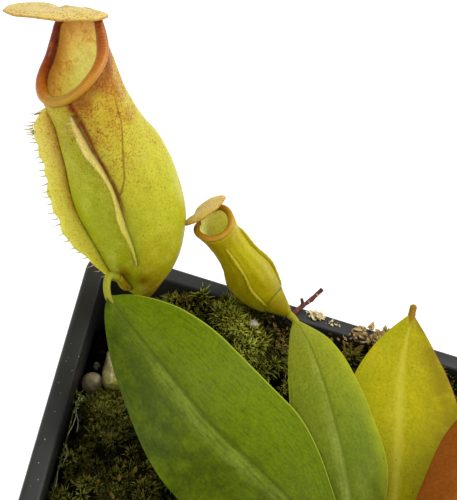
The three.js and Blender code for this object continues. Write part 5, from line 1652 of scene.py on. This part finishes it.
def make_sprig():
    """The pale moss sprig that creeps up the left inner wall, the threads beside it, and the dry curl
    of moss over the back of the rim."""
    rng = np.random.default_rng(SEED + 9)
    shape = Shape()
    path = Curve(SPRIG)
    stalk = tube_rings(path.at(np.linspace(0, 1, 60)), 0.12, 6)
    add_loft(shape, stalk, (0.5, 0.5, 0.5), (0.6, 0.6, 0.6))
    leaflet = np.array([[0, 0, 0], [0.13, 0, 0.5], [-0.13, 0, 0.5], [0, 0.07, 0.45], [0, 0.05, 1.0]])
    faces = np.array([(0, 2, 1), (0, 1, 3), (0, 3, 2), (4, 1, 2), (4, 3, 1), (4, 2, 3)])
    at = np.sort(rng.uniform(0, 1, 220))
    at = at[(at > 0.78) | ((at > 0.3) & (at < 0.48)) | (np.sin(at * 31) > 0.75)]
    spots = path.at(at)
    ways = path.direction(at)
    spread = unit(ways * 0.7 + rng.normal(0, 0.6, spots.shape) + [0.25, 0, 0.35])
    sizes = rng.uniform(0.6, 1.2, len(at)) * mixed(0.5, 0.75, at)
    tips = marked([0.3, 0.8, 0.8, 0.7, 1.0], 0.0, 0.0)[None]
    axes = turned_axes(spread, rng.uniform(0, 6, len(at)))
    stamp(shape, leaflet, faces, spots, axes, sizes, tips, (0.9, 0, 0))
    material = living_moss("pale_creeping_moss", "#4e5a20", "#8fa04a", "#c9d68c")
    shape.piece("creeping_sprig", "moss", material)

    hairs = Shape()
    for start, end in np.array(THREADS):
        steps = np.linspace(0, 1, 14)[:, None]
        bow = np.array([0.4, 0, 0.5]) * np.sin(np.pi * steps) * rng.uniform(0.3, 1)
        add_loft(hairs, tube_rings(mixed(start, end, steps) + bow, 0.05, 5), (0.8, 0.8, 0.8))
    hairs.piece("moss_filaments", "moss", rough_grit("bleached_fibre", "#a9a88c", "#dedcc4"))

    curl = Shape()
    strands = 16
    centre = np.array([0.4, 48.0, 91.0])
    starts = centre + rng.normal(0, 1, (strands, 3)) * [2.0, 0.8, 0.4]
    starts[:, 1] = np.clip(starts[:, 1], 45.6, 49.2)
    starts[:, 2] = np.maximum(starts[:, 2], POT_HEIGHT + 0.1)
    for start in starts:
        steps = np.linspace(0, 1, 9)
        turn = rng.uniform(0, 2 * np.pi)
        radius = rng.uniform(0.4, 0.9)
        bends = turn + steps * rng.uniform(2, 4.5)
        flat = np.column_stack([np.cos(bends), 0.5 * np.sin(bends), 0.5 * np.sin(bends * 1.3)]) * radius
        line = start + flat - flat[0] + UP * 0.3 * steps[:, None]
        line[:, 2] = np.maximum(line[:, 2], POT_HEIGHT + 0.12)
        add_loft(curl, tube_rings(line, 0.17 * np.sin(np.pi * (0.12 + 0.8 * steps)), 6))
    clump = [
        ([0.6, 48.0, 90.9], 130, [1.7, 0.9, 0.45], 0.8),
        ([-4.6, 47.6, 89.6], 20, [1.6, 0.6, 0.4], 0.6),
    ]
    scatter_flakes(rng, curl, clump)
    curl.piece("dry_moss_curl", "moss", rough_grit("dry_brown_moss", "#5e400f", "#d8bc7c"))


# The stage


def make_stage(settings):
    """The floor, the even light with two softboxes, and the camera, all in metres."""
    scene = bpy.context.scene
    scene.view_settings.view_transform = "Standard"
    size, rows, below = 2.4, 13, 0.0002
    mesh = bpy.data.meshes.new("studio_floor")
    steps = np.linspace(-size / 2, size / 2, rows)
    points = marked(steps[:, None], steps, -below).reshape(-1, 3)
    mesh.from_pydata(points.tolist(), [], grid_faces(rows, rows)[:, ::-1].tolist())
    mesh.materials.append(matt_paper(settings.floor_colour))
    floor = bpy.data.objects.new("studio_floor", mesh)
    scene.collection.objects.link(floor)

    world = bpy.data.worlds.new("studio_light")
    scene.world = world
    world.use_nodes = True
    sky = world.node_tree.nodes["Background"]
    sky.inputs["Color"].default_value = (1.0, 1.0, 1.0, 1.0)
    sky.inputs["Strength"].default_value = settings.room_light

    aim = Vector((-0.02, 0.02, 0.09))
    lamps = [
        ("key_softbox", (0.9, 0.5, 1.7), 1.2, settings.key_light),
        ("fill_softbox", (-1.2, -0.7, 1.3), 1.3, settings.key_light * 0.3),
    ]
    for name, place, width, power in lamps:
        light = bpy.data.lights.new(name, "AREA")
        light.shape, light.size, light.energy = "DISK", width, power
        lamp = bpy.data.objects.new(name, light)
        lamp.location = place
        lamp.rotation_euler = (aim - Vector(place)).to_track_quat("-Z", "Y").to_euler()
        scene.collection.objects.link(lamp)

    data = bpy.data.cameras.new("photo_camera")
    data.lens, data.sensor_width, data.sensor_fit = CAMERA["lens"], 36.0, "AUTO"
    data.clip_start, data.clip_end = 0.01, 10.0
    camera = bpy.data.objects.new("photo_camera", data)
    azimuth, elevation, roll = (math.radians(CAMERA[k]) for k in ("azimuth", "elevation", "roll"))
    level = Euler((math.pi / 2 - elevation, 0, azimuth)).to_matrix()
    turned = level @ Matrix.Rotation(roll, 3, "Z")
    camera.matrix_world = Matrix.Translation(Vector(CAMERA["place"]) * MM) @ turned.to_4x4()
    scene.collection.objects.link(camera)
    scene.camera = camera


# The add-on


class PlantSettings(bpy.types.PropertyGroup):
    pot_colour: FloatVectorProperty(
        name="Pot colour",
        description="Colour of the moulded pot",
        subtype="COLOR", size=3, min=0, max=1, default=linear("#262625")[:3],
    )
    floor_colour: FloatVectorProperty(
        name="Floor colour",
        description="Colour of the studio floor",
        subtype="COLOR", size=3, min=0, max=1, default=linear("#fafaf8")[:3],
    )
    crumbs: IntProperty(
        name="Crumbs",
        description="Bits of bark and peat that lie on the growing mix",
        min=0, max=6000, default=2600,
    )
    shoot_spacing: FloatProperty(
        name="Shoot spacing",
        description="Distance between shoots of moss, in millimetres",
        min=0.8, max=4, default=1.0,
    )
    shoot_height: FloatProperty(
        name="Shoot height",
        description="Height of a shoot of moss, in millimetres",
        min=0.5, max=4, default=1.8,
    )
    leaf_roughness: FloatProperty(
        name="Leaf roughness",
        description="Roughness of the leaves' wax: lower is glossier",
        subtype="FACTOR", min=0.1, max=0.9, default=0.36,
    )
    room_light: FloatProperty(
        name="Room light",
        description="Strength of the even light",
        min=0, max=5, default=0.85,
    )
    key_light: FloatProperty(
        name="Key light",
        description="Power of the large softbox",
        subtype="POWER", unit="POWER", min=0, max=200, default=22.0,
    )


class PLANT_OT_pot(bpy.types.Operator):
    """Build the square nursery pot"""

    bl_idname = "plant.pot"
    bl_label = "Pot"

    def execute(self, context):
        make_pot(context.scene.plant_settings)
        return {"FINISHED"}


class PLANT_OT_growing_mix(bpy.types.Operator):
    """Build the peat with its crumbs of bark and its loose grit"""

    bl_idname = "plant.growing_mix"
    bl_label = "Growing mix"

    def execute(self, context):
        make_growing_mix(context.scene.plant_settings)
        make_loose_grit()
        return {"FINISHED"}


class PLANT_OT_moss(bpy.types.Operator):
    """Grow the five cushions of moss, the creeping sprig and the dry flakes"""

    bl_idname = "plant.moss"
    bl_label = "Moss"

    def execute(self, context):
        settings = context.scene.plant_settings
        bright = ("#242804", "#787e0a", "#ccce58")
        olive = ("#1e2004", "#60660e", "#c0c058")
        make_moss("moss_back_left", settings, bright, brown=0.08, dead=(-14.5, 45.5, 4.5))
        make_moss("moss_back_right", settings, bright, brown=0.15, dead=(4, 46, 6))
        make_moss("moss_left", settings, olive, brown=0.22)
        make_moss("moss_front", settings, olive, brown=0.15, spacing=1.4)
        make_moss("moss_right", settings, olive, brown=0.15, spacing=1.4)
        make_sprig()
        make_flakes()
        return {"FINISHED"}


class PLANT_OT_leaves(bpy.types.Operator):
    """Build the stem and its seven leaves"""

    bl_idname = "plant.leaves"
    bl_label = "Stem and leaves"

    def execute(self, context):
        make_stem()
        for name in LEAVES:
            make_leaf(name, context.scene.plant_settings)
        return {"FINISHED"}


class PLANT_OT_pitchers(bpy.types.Operator):
    """Build the two pitchers, each with its cup, wings, rim and lid"""

    bl_idname = "plant.pitchers"
    bl_label = "Pitchers"

    def execute(self, context):
        for name in PITCHERS:
            make_cup(name)
            make_rim(name)
            make_lid(name)
        return {"FINISHED"}


class PLANT_OT_loose_bits(bpy.types.Operator):
    """Place the twig, the bead, the chip and the pebble"""

    bl_idname = "plant.loose_bits"
    bl_label = "Loose bits"

    def execute(self, context):
        make_twig()
        make_bits()
        return {"FINISHED"}


class PLANT_OT_stage(bpy.types.Operator):
    """Set up the floor, the studio light and the camera"""

    bl_idname = "plant.stage"
    bl_label = "Stage"

    def execute(self, context):
        make_stage(context.scene.plant_settings)
        return {"FINISHED"}


OPERATORS = [
    PLANT_OT_stage,
    PLANT_OT_pot,
    PLANT_OT_growing_mix,
    PLANT_OT_moss,
    PLANT_OT_leaves,
    PLANT_OT_pitchers,
    PLANT_OT_loose_bits,
]


class PLANT_PT_panel(bpy.types.Panel):
    """Sizes, colours and the pieces of the plant"""

    bl_idname = "PLANT_PT_panel"
    bl_label = "Pitcher plant"
    bl_space_type = "VIEW_3D"
    bl_region_type = "UI"
    bl_category = "Pitcher plant"

    def draw(self, context):
        settings = context.scene.plant_settings
        for name in PlantSettings.__annotations__:
            self.layout.prop(settings, name)
        for operator in OPERATORS:
            self.layout.operator(operator.bl_idname)


CLASSES = [PlantSettings, *OPERATORS, PLANT_PT_panel]


def register():
    for each in CLASSES:
        bpy.utils.register_class(each)
    bpy.types.Scene.plant_settings = PointerProperty(type=PlantSettings)


def unregister():
    del bpy.types.Scene.plant_settings
    for each in reversed(CLASSES):
        bpy.utils.unregister_class(each)


def main():
    register()
    for operator in OPERATORS:
        group, name = operator.bl_idname.split(".")
        getattr(getattr(bpy.ops, group), name)()
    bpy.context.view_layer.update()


if __name__ == "__main__":
    main()
